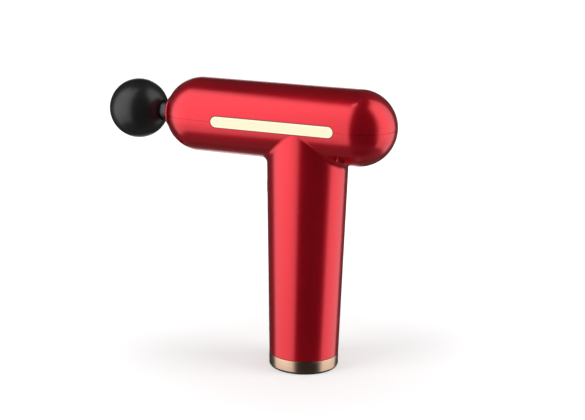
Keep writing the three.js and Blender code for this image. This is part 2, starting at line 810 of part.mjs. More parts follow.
const lowerTray = trayShape(lowerTrayZ, lowerTrayTop, cellFloor - seat, lowerTrayTop + 1);
part('cell_tray_lower', lowerTray, 0x26282b, 0.6, 0);
const linkSlot = block(-cellX - seat, cellX + seat, -linkHalfWidth - seat, linkHalfWidth + seat,
  upperTrayZ - 1, upperTrayTop - trayFloor);
const upperTray = trayShape(upperTrayZ, upperTrayTop, upperTrayZ - 1, upperTrayTop - trayFloor);
part('cell_tray_upper', upperTray.subtract(linkSlot), 0x26282b, 0.6, 0);
[-cellX, cellX].forEach((x, i) => {
  part(`battery_cell_${i + 1}`, rod(cellRadius, cellFloor, cellTop, x, 0), 0x2b62a8, 0.4, 0);
});
part('cell_link',
  block(-cellX, cellX, -linkHalfWidth, linkHalfWidth, linkZ, linkZ + linkThickness), 0xc8cacd, 0.3, 1);

// Half width of a board that stands between the grip's walls, reaching out to `reach` across it.
function boardHalfWidth(halfAcross, halfAlong, reach) {
  return halfAlong * Math.sqrt(1 - (reach / halfAcross) ** 2) - 3 * seat;
}

// ---- Control board, standing between the trays behind the cells ----

function controlBoard() {
  const z0 = lowerTrayTop + seat;
  const z1 = upperTrayZ - seat;
  const half = boardHalfWidth(gripHalfY(z0) - wall, gripHalfX(z0) - wall, controlBoardY + boardThickness);
  const chipY = controlBoardY - chipHeight;
  const board = block(-half, half, controlBoardY, controlBoardY + boardThickness, z0, z1);
  const rootY = controlBoardY + chipRoot;
  const behind = block(-beyond, beyond, rootY, beyond, -beyond, beyond);
  const winding = rod(coil.radius, z0 + coil.low, z0 + coil.high, 0, controlBoardY, smallSteps);
  let loaded = board.add(winding.subtract(behind));
  for (const { halfWidth, low, high } of [controller, driver]) {
    loaded = loaded.add(block(-halfWidth, halfWidth, chipY, rootY, z0 + low, z0 + high));
  }
  return loaded;
}

part('control_board', controlBoard(), 0x1f6b3a, 0.5, 0.1);

// ---- Foot: ring, cover, pad, screws ----

const ringInner = gripFootRadius - ringWall;
const coverRadius = ringInner - seat;
const coverBottom = padThickness + seat;
const coverTop = coverBottom + coverThickness;
const lipBottom = coverTop + seat;
const ringProfile = [
  [ringInner, footGap],
  [gripFootRadius, footGap],
  [gripFootRadius, ringTopZ],
  [ringInner, ringTopZ],
  [ringInner, lipBottom + lipThickness],
  [ringInner - lipWidth, lipBottom + lipThickness],
  [ringInner - lipWidth, lipBottom],
  [ringInner, lipBottom],
];
part('base_ring', turned(ringProfile, fineSteps), 0xd8b49a, 0.3, 0.9);

const footScrews = [-footScrewY, footScrewY];
const chargeBoardZ = portMouth + portDepth + seat;
const plugRecess = block(portX - recessThickness / 2, portX + recessThickness / 2,
  -recessWidth / 2, recessWidth / 2, -1, beyond);

function baseCover() {
  const postRadius = screwShankRadius + seat + bossWall;
  const wellX = recessThickness / 2 + recessWall;
  const wellY = recessWidth / 2 + recessWall;
  let cover = rod(coverRadius, coverBottom, coverTop, 0, 0, fineSteps);
  cover = cover.add(block(portX - wellX, portX + wellX, -wellY, wellY, coverBottom, portMouth - seat));
  for (const y of footScrews) {
    cover = cover.add(rod(postRadius, coverBottom, ringTopZ, 0, y, smallSteps)
      .intersect(rod(ringInner - lipWidth - seat, 0, beyond, 0, 0, fineSteps)));
  }
  for (const y of [-chargePostY, chargePostY]) {
    cover = cover.add(rod(chargePostRadius, coverBottom, chargeBoardZ - seat, chargePostX, y, smallSteps));
  }
  for (const y of footScrews) {
    cover = cover.subtract(rod(screwShankRadius + seat, 0, beyond, 0, y, smallSteps));
    cover = cover.subtract(rod(screwHeadRadius + seat, 0, coverBottom + footHeadRecess, 0, y, smallSteps));
  }
  return cover.subtract(plugRecess);
}

part('base_cover', baseCover(), 0x1d1d1f, 0.5, 0);
const padRim = rod(gripFootRadius - padRimInset, 0, footGap - seat, 0, 0, fineSteps);
const footPad = rod(coverRadius, 0, padThickness, 0, 0, fineSteps).add(padRim).subtract(plugRecess);
part('foot_pad', footPad, 0x151515, 0.9, 0);

footScrews.forEach((y, i) => {
  const headTop = coverBottom + footHeadRecess - seat;
  const profile = [
    [0, padThickness + footHeadLift],
    [screwHeadRadius, padThickness + footHeadLift],
    [screwHeadRadius, headTop],
    [screwShankRadius, headTop],
    [screwShankRadius, ringTopZ + footScrewReach],
    [0, ringTopZ + footScrewReach],
  ];
  part(`base_screw_${i + 1}`, turned(profile, smallSteps, 0, y), 0x33343a, 0.4, 0.9);
});

// ---- Charging socket and its board ----

function chargePort() {
  const radius = portThickness / 2;
  const inner = radius - portWallThickness;
  const top = chargeBoardZ - seat;
  const straight = portWidth / 2 - radius;
  const outline = (r) => {
    const shape = new THREE.Shape();
    shape.absarc(portX, straight, r, 0, Math.PI);
    shape.absarc(portX, -straight, r, Math.PI, 2 * Math.PI);
    return shape;
  };
  const shell = plate(outline(radius), portMouth, top, 6);
  const mouth = plate(outline(inner), portMouth - 1, portMouth + portDepth - portFloor, 6);
  const tongue = block(portX - tongueThickness / 2, portX + tongueThickness / 2, -straight, straight,
    portMouth + tongueInset, top - tongueShort);
  return shell.subtract(mouth).add(tongue);
}

part('charge_port', chargePort(), 0xb9bbc0, 0.3, 0.95);
part('charge_board',
  block(-chargeBoardFront, portX + chargeBoardRear, -chargeBoardHalf, chargeBoardHalf,
    chargeBoardZ, chargeBoardZ + boardThickness),
  0x1f6b3a, 0.5, 0.1);

// ---- Power button on the front of the grip ----

const bezelBore = buttonRadius + running;
const bezelRadius = bezelBore + bezelWall;
const gripFrontX = -gripHalfX(buttonZ);
const buttonBackX = gripFrontX + buttonDepth;
const plungerX = buttonBackX + seat + buttonTravel;
const switchX = plungerX + plungerHeight;
const buttonBoardX = switchX + switchHeight + seat;

function bezel() {
  const ring = rodAlongX(bezelRadius, gripFrontX - 2, buttonBackX + 1, buttonZ)
    .subtract(rodAlongX(bezelBore, gripFrontX - 3, buttonBackX + 2, buttonZ));
  return ring.intersect(gripColumn(-bezelProud, ringTopZ, gripTopZ));
}

function powerButton() {
  const cap = rodAlongX(buttonRadius, gripFrontX - 2, buttonBackX - buttonStemReach, buttonZ);
  const stem = rodAlongX(buttonStemRadius, gripFrontX + 1, buttonBackX, buttonZ, smallSteps);
  return cap.add(stem).intersect(gripColumn(-buttonProud, ringTopZ, gripTopZ));
}

function buttonSwitch() {
  const half = switchSize / 2;
  const body = block(switchX, switchX + switchHeight, -half, half, buttonZ - half, buttonZ + half);
  return body.add(rodAlongX(plungerRadius, plungerX, switchX + plungerHeight, buttonZ, smallSteps));
}

part('button_bezel', bezel(), 0xd8b49a, 0.3, 0.9);
part('power_button', powerButton(), 0x8e0d20, 0.35, 0.4);
part('button_switch', buttonSwitch(), 0x222326, 0.5, 0.1);
const buttonBoardZ = buttonZ - buttonBoardHeight / 2;
const buttonBoardHalf = boardHalfWidth(
  gripHalfX(buttonBoardZ) - wall, gripHalfY(buttonBoardZ) - wall, -buttonBoardX);
part('button_board', block(buttonBoardX, buttonBoardX + boardThickness, -buttonBoardHalf, buttonBoardHalf,
  buttonBoardZ, buttonBoardZ + buttonBoardHeight), 0x1f6b3a, 0.5, 0.1);

export default group;
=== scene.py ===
import json
import math

import bmesh
import bpy
import numpy as np
from mathutils import Matrix, Vector


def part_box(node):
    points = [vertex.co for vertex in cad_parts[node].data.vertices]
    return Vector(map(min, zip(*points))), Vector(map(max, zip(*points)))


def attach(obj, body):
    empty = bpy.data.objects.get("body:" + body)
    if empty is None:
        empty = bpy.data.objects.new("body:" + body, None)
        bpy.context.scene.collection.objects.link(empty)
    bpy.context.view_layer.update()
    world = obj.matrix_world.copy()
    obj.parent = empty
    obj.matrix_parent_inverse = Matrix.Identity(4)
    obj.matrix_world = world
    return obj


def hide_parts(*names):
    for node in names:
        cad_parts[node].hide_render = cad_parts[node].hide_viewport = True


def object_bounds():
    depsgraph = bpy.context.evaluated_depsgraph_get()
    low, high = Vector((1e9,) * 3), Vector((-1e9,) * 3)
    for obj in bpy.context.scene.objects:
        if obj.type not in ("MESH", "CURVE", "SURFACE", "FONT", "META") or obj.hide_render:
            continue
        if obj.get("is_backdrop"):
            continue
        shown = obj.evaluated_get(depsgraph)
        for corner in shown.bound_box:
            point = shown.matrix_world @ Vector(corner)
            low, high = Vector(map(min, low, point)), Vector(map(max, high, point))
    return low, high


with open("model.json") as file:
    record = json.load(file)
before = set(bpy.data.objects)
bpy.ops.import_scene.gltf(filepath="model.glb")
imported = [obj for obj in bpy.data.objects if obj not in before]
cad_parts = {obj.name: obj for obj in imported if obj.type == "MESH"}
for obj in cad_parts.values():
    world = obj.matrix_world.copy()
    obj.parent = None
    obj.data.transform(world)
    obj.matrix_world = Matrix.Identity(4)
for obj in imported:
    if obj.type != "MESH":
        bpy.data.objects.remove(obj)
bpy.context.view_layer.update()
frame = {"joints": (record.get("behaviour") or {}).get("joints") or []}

MM = 0.001

# ---------------------------------------------------------------------------------------------
# Camera: a long lens a little above the barrel, in front of the grip and towards the tail.
# ---------------------------------------------------------------------------------------------
camera_around = 22.31
camera_height = 14.165
camera_roll = math.radians(1.037)
camera_distance = 0.7688
camera_aim = Vector((-0.00891, 0, 0.0936))


def toward(around, height):
    """The way out at an angle round the object, from -Y towards +X, and one upwards, in degrees."""
    a, e = math.radians(around), math.radians(height)
    return Vector((math.sin(a) * math.cos(e), -math.cos(a) * math.cos(e), math.sin(e)))


camera_data = bpy.data.cameras.new("camera")
camera_data.lens = 80.65
camera_data.sensor_width = 36
camera_data.clip_start = 0.01
camera = bpy.data.objects.new("camera", camera_data)
bpy.context.scene.collection.objects.link(camera)
back = toward(camera_around, camera_height)
level = Vector((0, 0, 1)).cross(back).normalized()
upright = back.cross(level)
right = math.cos(camera_roll) * level + math.sin(camera_roll) * upright
up = math.cos(camera_roll) * upright - math.sin(camera_roll) * level
turn = Matrix((right, up, back)).transposed().to_4x4()
camera.matrix_world = Matrix.Translation(camera_aim + camera_distance * back) @ turn
bpy.context.scene.camera = camera

# ---------------------------------------------------------------------------------------------
# Casing: two moulded shells, split along the barrel's middle plane and sprayed with a red
# metallic lacquer. The lower one is in one piece with the grip, and a small fillet joins them.
# ---------------------------------------------------------------------------------------------
barrel_z = frame["joints"][2]["pos_m"][2]
at_axis = (0, 0, barrel_z)
barrel_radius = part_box("upper_shell")[1].z - barrel_z
tail_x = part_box("upper_shell")[1].x - barrel_radius
collar_sink = 1.0 * MM
nose_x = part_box("nose_collar")[0].x - collar_sink + barrel_radius
wall = 2.2 * MM
fillet = 3.4 * MM
parting_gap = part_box("upper_shell")[0].z - barrel_z
fit = 0.3 * MM

grip_top_z = barrel_z - barrel_radius
grip_top_half = Vector((24.0 * MM, 21.6 * MM))
ring_low, ring_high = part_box("base_ring")
foot_radius = ring_high.x
grip_foot_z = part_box("lower_body")[0].z
below_foot = -6 * MM


def link(obj):
    bpy.context.scene.collection.objects.link(obj)
    return obj


def middle(node):
    """The centre of a plain piece's box."""
    low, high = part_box(node)
    return (low + high) / 2


def shade(obj, sharp=30):
    """Shades a piece smooth, except at edges sharper than `sharp` degrees."""
    obj.data.polygons.foreach_set("use_smooth", [True] * len(obj.data.polygons))
    obj.data.set_sharp_from_angle(angle=math.radians(sharp))
    return obj


def ring_faces(count, rings):
    """The faces of a stack of rings of `count` points: its sides and a cap at each end."""
    faces = [tuple(range(count)), tuple(range(count * (rings - 1), count * rings))]
    for k in range(rings - 1):
        for i in range(count):
            j = (i + 1) % count
            faces.append((k * count + i, k * count + j, (k + 1) * count + j, (k + 1) * count + i))
    return faces


def solid_mesh(name, points, faces, sharp=30):
    """A closed mesh whose faces point out, shaded smooth except at edges sharper than `sharp`."""
    mesh = bpy.data.meshes.new(name)
    mesh.from_pydata([tuple(p) for p in points], [], faces)
    shape = bmesh.new()
    shape.from_mesh(mesh)
    bmesh.ops.remove_doubles(shape, verts=shape.verts, dist=1e-7)
    bmesh.ops.recalc_face_normals(shape, faces=shape.faces)
    if shape.calc_volume(signed=True) < 0:
        bmesh.ops.reverse_faces(shape, faces=shape.faces)
    shape.to_mesh(mesh)
    shape.free()
    return shade(link(bpy.data.objects.new(name, mesh)), sharp)


def evaluated_mesh(obj):
    """The object's mesh with its modifiers worked in."""
    bpy.context.view_layer.update()
    return bpy.data.meshes.new_from_object(obj.evaluated_get(bpy.context.evaluated_depsgraph_get()))


def work_in(obj):
    """Replaces the object's mesh by the result of its modifiers and clears them."""
    mesh = evaluated_mesh(obj)
    obj.modifiers.clear()
    obj.data = mesh
    return obj


def cut(obj, tool, operation="DIFFERENCE"):
    """Cuts, joins or trims one solid by another, which is used up."""
    boolean = obj.modifiers.new(operation.lower(), "BOOLEAN")
    boolean.operation = operation
    boolean.solver = "MANIFOLD"
    boolean.object = tool
    work_in(obj)
    bpy.data.objects.remove(tool)
    return obj


def turned(name, profile, axis="Z", at=(0, 0, 0), steps=96, sharp=30):
    """A profile of (radius, place along the axis) turned once round. It closes on itself or on the axis."""
    points, faces, rings = [], [], []
    for radius, along in profile:
        ring = []
        for i in range(steps if radius > 1e-9 else 1):
            angle = 2 * math.pi * i / steps
            c, s = radius * math.cos(angle), radius * math.sin(angle)
            spot = (along, c, s) if axis == "X" else (c, s, along)
            ring.append(len(points))
            points.append([spot[k] + at[k] for k in range(3)])
        rings.append(ring)
    on_axis = len(rings[0]) == 1 and len(rings[-1]) == 1
    pairs = list(zip(rings, rings[1:])) + ([] if on_axis else [(rings[-1], rings[0])])
    for one, two in pairs:
        for i in range(steps):
            j = (i + 1) % steps
            corners = [one[i % len(one)], one[j % len(one)], two[j % len(two)], two[i % len(two)]]
            corners = list(dict.fromkeys(corners))
            if len(corners) > 2:
                faces.append(corners)
    return solid_mesh(name, points, faces, sharp)


def rounded(corners, arc_steps=5):
    """An outline of (a, b, corner radius) as points, with each corner replaced by an arc."""
    outline = []
    count = len(corners)
    for i, (a, b, radius) in enumerate(corners):
        here = Vector((a, b))
        if radius <= 0:
            outline.append(here)
            continue
        before = Vector(corners[i - 1][:2]) - here
        after = Vector(corners[(i + 1) % count][:2]) - here
        half = before.angle(after) / 2
        reach = min(radius / math.tan(half), 0.49 * before.length, 0.49 * after.length)
        radius = reach * math.tan(half)
        centre = here + (before.normalized() + after.normalized()).normalized() * radius / math.sin(half)
        start = here + before.normalized() * reach - centre
        end = here + after.normalized() * reach - centre
        turn_by = start.angle_signed(end)
        for k in range(arc_steps + 1):
            spot = start.copy()
            spot.rotate(Matrix.Rotation(-turn_by * k / arc_steps, 2))
            outline.append(centre + spot)
    return [(p.x, p.y) for p in outline]


def block(name, low, high):
    low, high = Vector(low), Vector(high)
    points = [(x, y, z) for x in (low.x, high.x) for y in (low.y, high.y) for z in (low.z, high.z)]
    faces = [(0, 1, 3, 2), (4, 6, 7, 5), (0, 4, 5, 1), (2, 3, 7, 6), (0, 2, 6, 4), (1, 5, 7, 3)]
    return solid_mesh(name, points, faces)


def rod(name, radius, low, high, axis="Z", at=(0, 0, 0), steps=64):
    return turned(name, [(0, low), (radius, low), (radius, high), (0, high)], axis, at, steps)


def bore(obj, radius, low, high, axis="Z", at=(0, 0, 0), steps=64):
    """Cuts a round hole in a solid."""
    return cut(obj, rod("bore", radius, low, high, axis, at, steps))


def grip_half(z, inset):
    """The grip's half widths along X and Y at a height, its wall moved in by `inset`."""
    share = (z - ring_high.z) / (grip_top_z - ring_high.z)
    half_x = foot_radius + (grip_top_half.x - foot_radius) * share - inset
    half_y = foot_radius + (grip_top_half.y - foot_radius) * share - inset
    return half_x, half_y


def grip_column(name, inset, low, high, steps=128):
    """The grip's tapered oval between two heights, its wall moved in by `inset`."""
    points = []
    for z in (low, high):
        half_x, half_y = grip_half(z, inset)
        for i in range(steps):
            angle = 2 * math.pi * i / steps
            points.append((half_x * math.cos(angle), half_y * math.sin(angle), z))
    return solid_mesh(name, points, ring_faces(steps, 2))


def barrel_distance(p, inset):
    """How far points lie outside the barrel's capsule, its wall moved in by `inset`."""
    along = np.clip(p[:, 0], nose_x, tail_x)
    offset = p - np.stack([along, np.zeros(len(p)), np.full(len(p), barrel_z)], 1)
    return np.linalg.norm(offset, axis=1) - (barrel_radius - inset)


def grip_distance(p, inset):
    """The same for the grip's oval, which tapers to a circle at its foot."""
    half_x, half_y = grip_half(p[:, 2], inset)
    near = np.maximum(np.hypot(p[:, 0] / half_x, p[:, 1] / half_y), 1e-6)
    steep = np.maximum(np.hypot(p[:, 0] / half_x**2, p[:, 1] / half_y**2), 1e-6)
    return np.maximum(near * (near - 1) / steep, p[:, 2] - barrel_z)


def slope(field, p, inset):
    """The field's gradient at points, by small steps along each axis."""
    step = 2e-6
    parts = []
    for k in range(3):
        shift = np.zeros(3)
        shift[k] = step
        parts.append((field(p + shift, inset) - field(p - shift, inset)) / (2 * step))
    return np.stack(parts, 1)


def body_distance(p, inset):
    """Barrel and grip as one skin: a fillet fills the corner, and fades where the walls run alike."""
    barrel, grip = barrel_distance(p, inset), grip_distance(p, inset)
    lean = np.einsum("ij,ij->i", slope(barrel_distance, p, inset), slope(grip_distance, p, inset))
    radius = np.maximum(fillet * np.clip(1 - lean, 0, 1), 1e-6)
    reach_barrel = np.maximum(radius - barrel, 0)
    reach_grip = np.maximum(radius - grip, 0)
    return np.maximum(radius, np.minimum(barrel, grip)) - np.hypot(reach_barrel, reach_grip)


def settle(p, inset, rounds=3):
    """Moves points onto the skin."""
    for _ in range(rounds):
        gradient = slope(body_distance, p, inset)
        length = np.maximum((gradient**2).sum(1), 0.2)
        p = p - gradient * (body_distance(p, inset) / length)[:, None]
    return p


def coordinates(mesh):
    flat = np.zeros(len(mesh.vertices) * 3, np.float32)
    mesh.vertices.foreach_get("co", flat)
    return flat.reshape(-1, 3).astype(float)


def capsule(name, inset, steps=160):
    """The barrel's own shape, its wall moved in by `inset`."""
    radius = barrel_radius - inset
    quarter = [math.pi / 2 * i / 32 for i in range(33)]
    profile = [(radius * math.sin(a), nose_x - radius * math.cos(a)) for a in quarter]
    profile += [(radius * math.cos(a), tail_x + radius * math.sin(a)) for a in quarter]
    profile[0] = (0, profile[0][1])
    profile[-1] = (0, profile[-1][1])
    return turned(name, profile, "X", at_axis, steps)


def body_skin(name, inset, cell):
    """A closed, even mesh of the barrel and the grip, its wall moved in by `inset`."""
    skin = capsule(name, inset)
    cut(skin, grip_column("column", inset, below_foot, barrel_z, 64), "UNION")
    remesh = skin.modifiers.new("even", "REMESH")
    remesh.mode = "VOXEL"
    remesh.voxel_size = cell
    work_in(skin)
    mesh = skin.data
    ends = np.zeros(len(mesh.edges) * 2, np.int32)
    mesh.edges.foreach_get("vertices", ends)
    ends = ends.reshape(-1, 2)
    count = np.bincount(ends.ravel(), minlength=len(mesh.vertices))[:, None]
    p = settle(coordinates(mesh), inset)
    for _ in range(4):
        total = np.zeros_like(p)
        np.add.at(total, ends[:, 0], p[ends[:, 1]])
        np.add.at(total, ends[:, 1], p[ends[:, 0]])
        p = settle(0.5 * p + 0.5 * total / count, inset, 2)
    p = settle(p, inset, 6)
    mesh.vertices.foreach_set("co", p.astype(np.float32).ravel())
    mesh.update()
    return skin


def true_normals(obj):
    """Shades the outer skin by its exact normals, and the cut walls by their own faces."""
    mesh = shade(obj).data
    corner = np.zeros(len(mesh.loops) * 3, np.float32)
    mesh.corner_normals.foreach_get("vector", corner)
    corner = corner.reshape(-1, 3).astype(float)
    vertex_of = np.zeros(len(mesh.loops), np.int32)
    mesh.loops.foreach_get("vertex_index", vertex_of)
    p = coordinates(mesh)
    exact = slope(body_distance, p, 0)
    exact /= np.maximum(np.linalg.norm(exact, axis=1), 1e-9)[:, None]
    on_skin = np.abs(body_distance(p, 0)) < skin_tolerance
    face_normal = np.zeros(len(mesh.polygons) * 3, np.float32)
    mesh.polygons.foreach_get("normal", face_normal)
    face_normal = face_normal.reshape(-1, 3)
    size = np.zeros(len(mesh.polygons), np.int32)
    mesh.polygons.foreach_get("loop_total", size)
    face_of = np.repeat(np.arange(len(mesh.polygons)), size)
    facing = np.einsum("ij,ij->i", face_normal[face_of], exact[vertex_of])
    use = on_skin[vertex_of] & (facing > 0.4)
    corner[use] = exact[vertex_of][use]
    mesh.normals_split_custom_set([tuple(n) for n in corner])


skin_tolerance = 0.03 * MM
skin = body_skin("skin", 0, 0.9 * MM)
cut(skin, body_skin("hollow", wall, 1.8 * MM))

strip_low, strip_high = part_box("light_strip_left")
strip_centre_x = middle("light_strip_left").x
strip_length = strip_high.x - strip_low.x
strip_height = strip_high.z - strip_low.z


def stadium(length, height, steps=20):
    """A bar's outline with round ends, as (x, z) points about its centre."""
    radius = height / 2
    straight = length / 2 - radius
    points = []
    for side in (1, -1):
        for i in range(steps + 1):
            angle = side * math.pi / 2 - math.pi * i / steps
            points.append((side * straight + radius * math.cos(angle), radius * math.sin(angle)))
    return points


def stadium_rings(name, length, height, rings, side, radius_at):
    """A bar through the barrel's side: rings of (outset, depth under the skin), from deep to proud."""
    points = []
    for outset, depth in rings:
        for x, z in stadium(length + 2 * outset, height + 2 * outset):
            y = math.sqrt(radius_at**2 - z**2) - depth
            points.append((strip_centre_x + x, side * y, barrel_z + z))
    return solid_mesh(name, points, ring_faces(len(points) // len(rings), len(rings)))


def edge_arc(radius, steps=4):
    """A quarter round from a straight wall out to the surface, as (outset, depth)."""
    angles = [math.pi / 2 * k / steps for k in range(steps + 1)]
    return [(radius * (1 - math.cos(a)), radius * (1 - math.sin(a))) for a in angles]


slot_edge = 0.3 * MM
slot_inside = 12 * MM
slot_outside = -5 * MM
slot_rings = [(0, slot_inside)] + edge_arc(slot_edge) + [(slot_edge, slot_outside)]
slot_length = strip_length + 2 * fit
slot_height = strip_height + 2 * fit
for side in (-1, 1):
    cut(skin, stadium_rings("slot", slot_length, slot_height, slot_rings, side, barrel_radius))


# The nose opening, its rim rounded where it meets the dome.
collar_radius = 10.3 * MM
nose_hole = collar_radius + fit
nose_edge = 0.5 * MM
rim_centre = (nose_hole + nose_edge,
              nose_x - math.sqrt((barrel_radius - nose_edge) ** 2 - (nose_hole + nose_edge) ** 2))
rim_tilt = math.atan2(nose_x - rim_centre[1], rim_centre[0])
nose_profile = [(0, nose_x - 2 * barrel_radius)]
nose_profile.append((rim_centre[0] + nose_edge * math.cos(rim_tilt), nose_x - 2 * barrel_radius))
rim_steps = 8
for k in range(rim_steps + 1):
    angle = rim_tilt + (math.pi - rim_tilt) * k / rim_steps
    nose_profile.append((rim_centre[0] + nose_edge * math.cos(angle),
                         rim_centre[1] - nose_edge * math.sin(angle)))
nose_profile += [(nose_hole, nose_x), (0, nose_x)]
cut(skin, turned("nose_cut", nose_profile, "X", at_axis, 160))

upper_shell = link(bpy.data.objects.new("upper_shell_skin", skin.data.copy()))
far = 0.4
cut(upper_shell, block("above", (-far, -far, barrel_z + parting_gap), (far, far, far)), "INTERSECT")
lower_body = link(bpy.data.objects.new("lower_body_skin", skin.data.copy()))
bpy.data.objects.remove(skin)
cut(lower_body, block("below", (-far, -far, grip_foot_z), (far, far, barrel_z - parting_gap)), "INTERSECT")

# A lip on the lower shell stands in a rebate of the upper one, so no light passes the parting line.
lip_insets = (0.55 * MM, 1.3 * MM)
lip_heights = (-0.6 * MM, 0.9 * MM)
rebate_insets = (0.35 * MM, 1.5 * MM)
rebate_heights = (-1 * MM, 1.1 * MM)
lip_slot_margin = 0.2 * MM


def wall_band(name, insets, heights):
    """A slice of the barrel's wall at the parting line."""
    band = cut(capsule(name, insets[0]), capsule(name + "_inside", insets[1]))
    low, high = barrel_z + heights[0], barrel_z + heights[1]
    return cut(band, block(name + "_slice", (-far, -far, low), (far, far, high)), "INTERSECT")


lip = wall_band("lip", lip_insets, lip_heights)
cut(lip, turned("lip_nose", nose_profile, "X", at_axis, 96))
lip_rings = [(lip_slot_margin, slot_inside), (lip_slot_margin, slot_outside)]
for side in (-1, 1):
    cut(lip, stadium_rings("lip_slot", slot_length, slot_height, lip_rings, side, barrel_radius))
cut(lower_body, lip, "UNION")
cut(upper_shell, wall_band("rebate", rebate_insets, rebate_heights))

# The screw holes: posts inside the lower shell, bored from below to the shoulder under the screw head.
screw_spots = [(middle(f"case_screw_{i}").x, middle(f"case_screw_{i}").y, 0) for i in (1, 2, 3, 4)]
shoulder_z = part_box("case_screw_1")[0].z + 2.0 * MM
screw_bore = 2.8 * MM
post_wall = 1.5 * MM
shank_bore = 1.6 * MM
post_top = barrel_z - parting_gap - fit

for spot in screw_spots:
    post = rod("post", screw_bore + post_wall, grip_top_z, post_top, "Z", spot, 48)
    cut(post, capsule("post_trim", wall / 2, 64), "INTERSECT")
    cut(lower_body, post, "UNION")
for spot in screw_spots:
    bore(lower_body, screw_bore, grip_top_z - 1 * MM, shoulder_z, "Z", spot)
    bore(lower_body, shank_bore, shoulder_z - 1 * MM, barrel_z, "Z", spot, 32)

at_button = (0, 0, middle("power_button").z)
bezel_low, bezel_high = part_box("button_bezel")
bezel_radius = (bezel_high.z - bezel_low.z) / 2
grip_front = -0.05
bore(lower_body, bezel_radius + fit, grip_front, -foot_radius / 2, "X", at_button)

for shell in (upper_shell, lower_body):
    true_normals(shell)


def add(tree, kind, inputs=None, **values):
    """A new node with its values set, and its inputs set or wired by their names or numbers."""
    node = tree.nodes.new(kind)
    for key, value in values.items():
        setattr(node, key, value)
    for label, value in (inputs or {}).items():
        if isinstance(value, bpy.types.NodeSocket):
            tree.links.new(value, node.inputs[label])
        else:
            node.inputs[label].default_value = value
    return node


# What every finish shares: a fine grain and broad patches, which turn into colour, gloss and relief.
grain_group = bpy.data.node_groups.new("surface_grain", "ShaderNodeTree")
for label, kind, value in (
        ("Vector", "Vector", (0, 0, 0)), ("Grain Scale", "Float", 1500), ("Patch Scale", "Float", 40),
        ("Dark", "Color", (0.1, 0.1, 0.1, 1)), ("Light", "Color", (0.2, 0.2, 0.2, 1)),
        ("Rough Low", "Float", 0.3), ("Rough High", "Float", 0.4)):
    socket = grain_group.interface.new_socket(label, in_out="INPUT", socket_type="NodeSocket" + kind)
    socket.default_value = value
for label, kind in (("Color", "Color"), ("Roughness", "Float"), ("Height", "Float")):
    grain_group.interface.new_socket(label, in_out="OUTPUT", socket_type="NodeSocket" + kind)
given = add(grain_group, "NodeGroupInput").outputs
fine = add(grain_group, "ShaderNodeTexNoise",
           {"Vector": given["Vector"], "Scale": given["Grain Scale"], "Detail": 3})
broad = add(grain_group, "ShaderNodeTexNoise",
            {"Vector": given["Vector"], "Scale": given["Patch Scale"], "Detail": 2})
share_broad = add(grain_group, "ShaderNodeMath", {0: broad.outputs["Fac"], 1: 0.4}, operation="MULTIPLY")
both_noises = add(grain_group, "ShaderNodeMath", {0: fine.outputs["Fac"], 1: 0.6, 2: share_broad.outputs[0]},
                  operation="MULTIPLY_ADD")
tone = add(grain_group, "ShaderNodeMapRange",
           {"Value": both_noises.outputs[0], "From Min": 0.3, "From Max": 0.7})
mix = add(grain_group, "ShaderNodeMix",
          {"Factor": tone.outputs["Result"], "A": given["Dark"], "B": given["Light"]}, data_type="RGBA")
gloss = add(grain_group, "ShaderNodeMapRange",
            {"Value": broad.outputs["Fac"], "From Min": 0.35, "From Max": 0.65,
             "To Min": given["Rough Low"], "To Max": given["Rough High"]})
add(grain_group, "NodeGroupOutput",
    {"Color": mix.outputs["Result"], "Roughness": gloss.outputs["Result"], "Height": fine.outputs["Fac"]})


def finish(name, dark, light, rough, grain=1500, patch=40, relief=0.02, stretch=(1, 1, 1), **shader):
    """A procedural material: shared grain for colour, gloss and relief, the rest on the shader itself."""
    material = bpy.data.materials.new(name)
    material.use_nodes = True
    tree = material.node_tree
    principled = tree.nodes["Principled BSDF"]
    place = add(tree, "ShaderNodeTexCoord")
    mapping = add(tree, "ShaderNodeMapping", {"Vector": place.outputs["Object"], "Scale": stretch})
    surface = add(tree, "ShaderNodeGroup",
                  {"Vector": mapping.outputs["Vector"], "Grain Scale": grain, "Patch Scale": patch,
                   "Dark": (*dark, 1), "Light": (*light, 1), "Rough Low": rough[0],
                   "Rough High": rough[1]}, node_tree=grain_group)
    bump = add(tree, "ShaderNodeBump",
               {"Height": surface.outputs["Height"], "Strength": relief, "Distance": 0.05 * MM})
    tree.links.new(surface.outputs["Color"], principled.inputs["Base Color"])
    tree.links.new(surface.outputs["Roughness"], principled.inputs["Roughness"])
    tree.links.new(bump.outputs["Normal"], principled.inputs["Normal"])
    for label, value in shader.items():
        principled.inputs[label.replace("_", " ")].default_value = value
    return material


red_lacquer = finish("red_lacquer", (0.68, 0.0005, 0.014), (0.80, 0.003, 0.022), (0.27, 0.31),
                     grain=5000, patch=30, relief=0.02,
                     Metallic=0.8, Coat_Weight=0.9, Coat_Roughness=0.15)


def add_piece(obj, body, slot_name, material, *nodes_replaced):
    """Finishes a new piece: its material, the body it moves with, and the plain parts it stands for."""
    obj.data.materials.clear()
    obj.data.materials.append(material)
    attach(obj, body)
    if nodes_replaced:
        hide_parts(*nodes_replaced)
    return obj


add_piece(upper_shell, "casing", "casing_red", red_lacquer, "upper_shell")
add_piece(lower_body, "casing", "casing_red", red_lacquer, "lower_body")

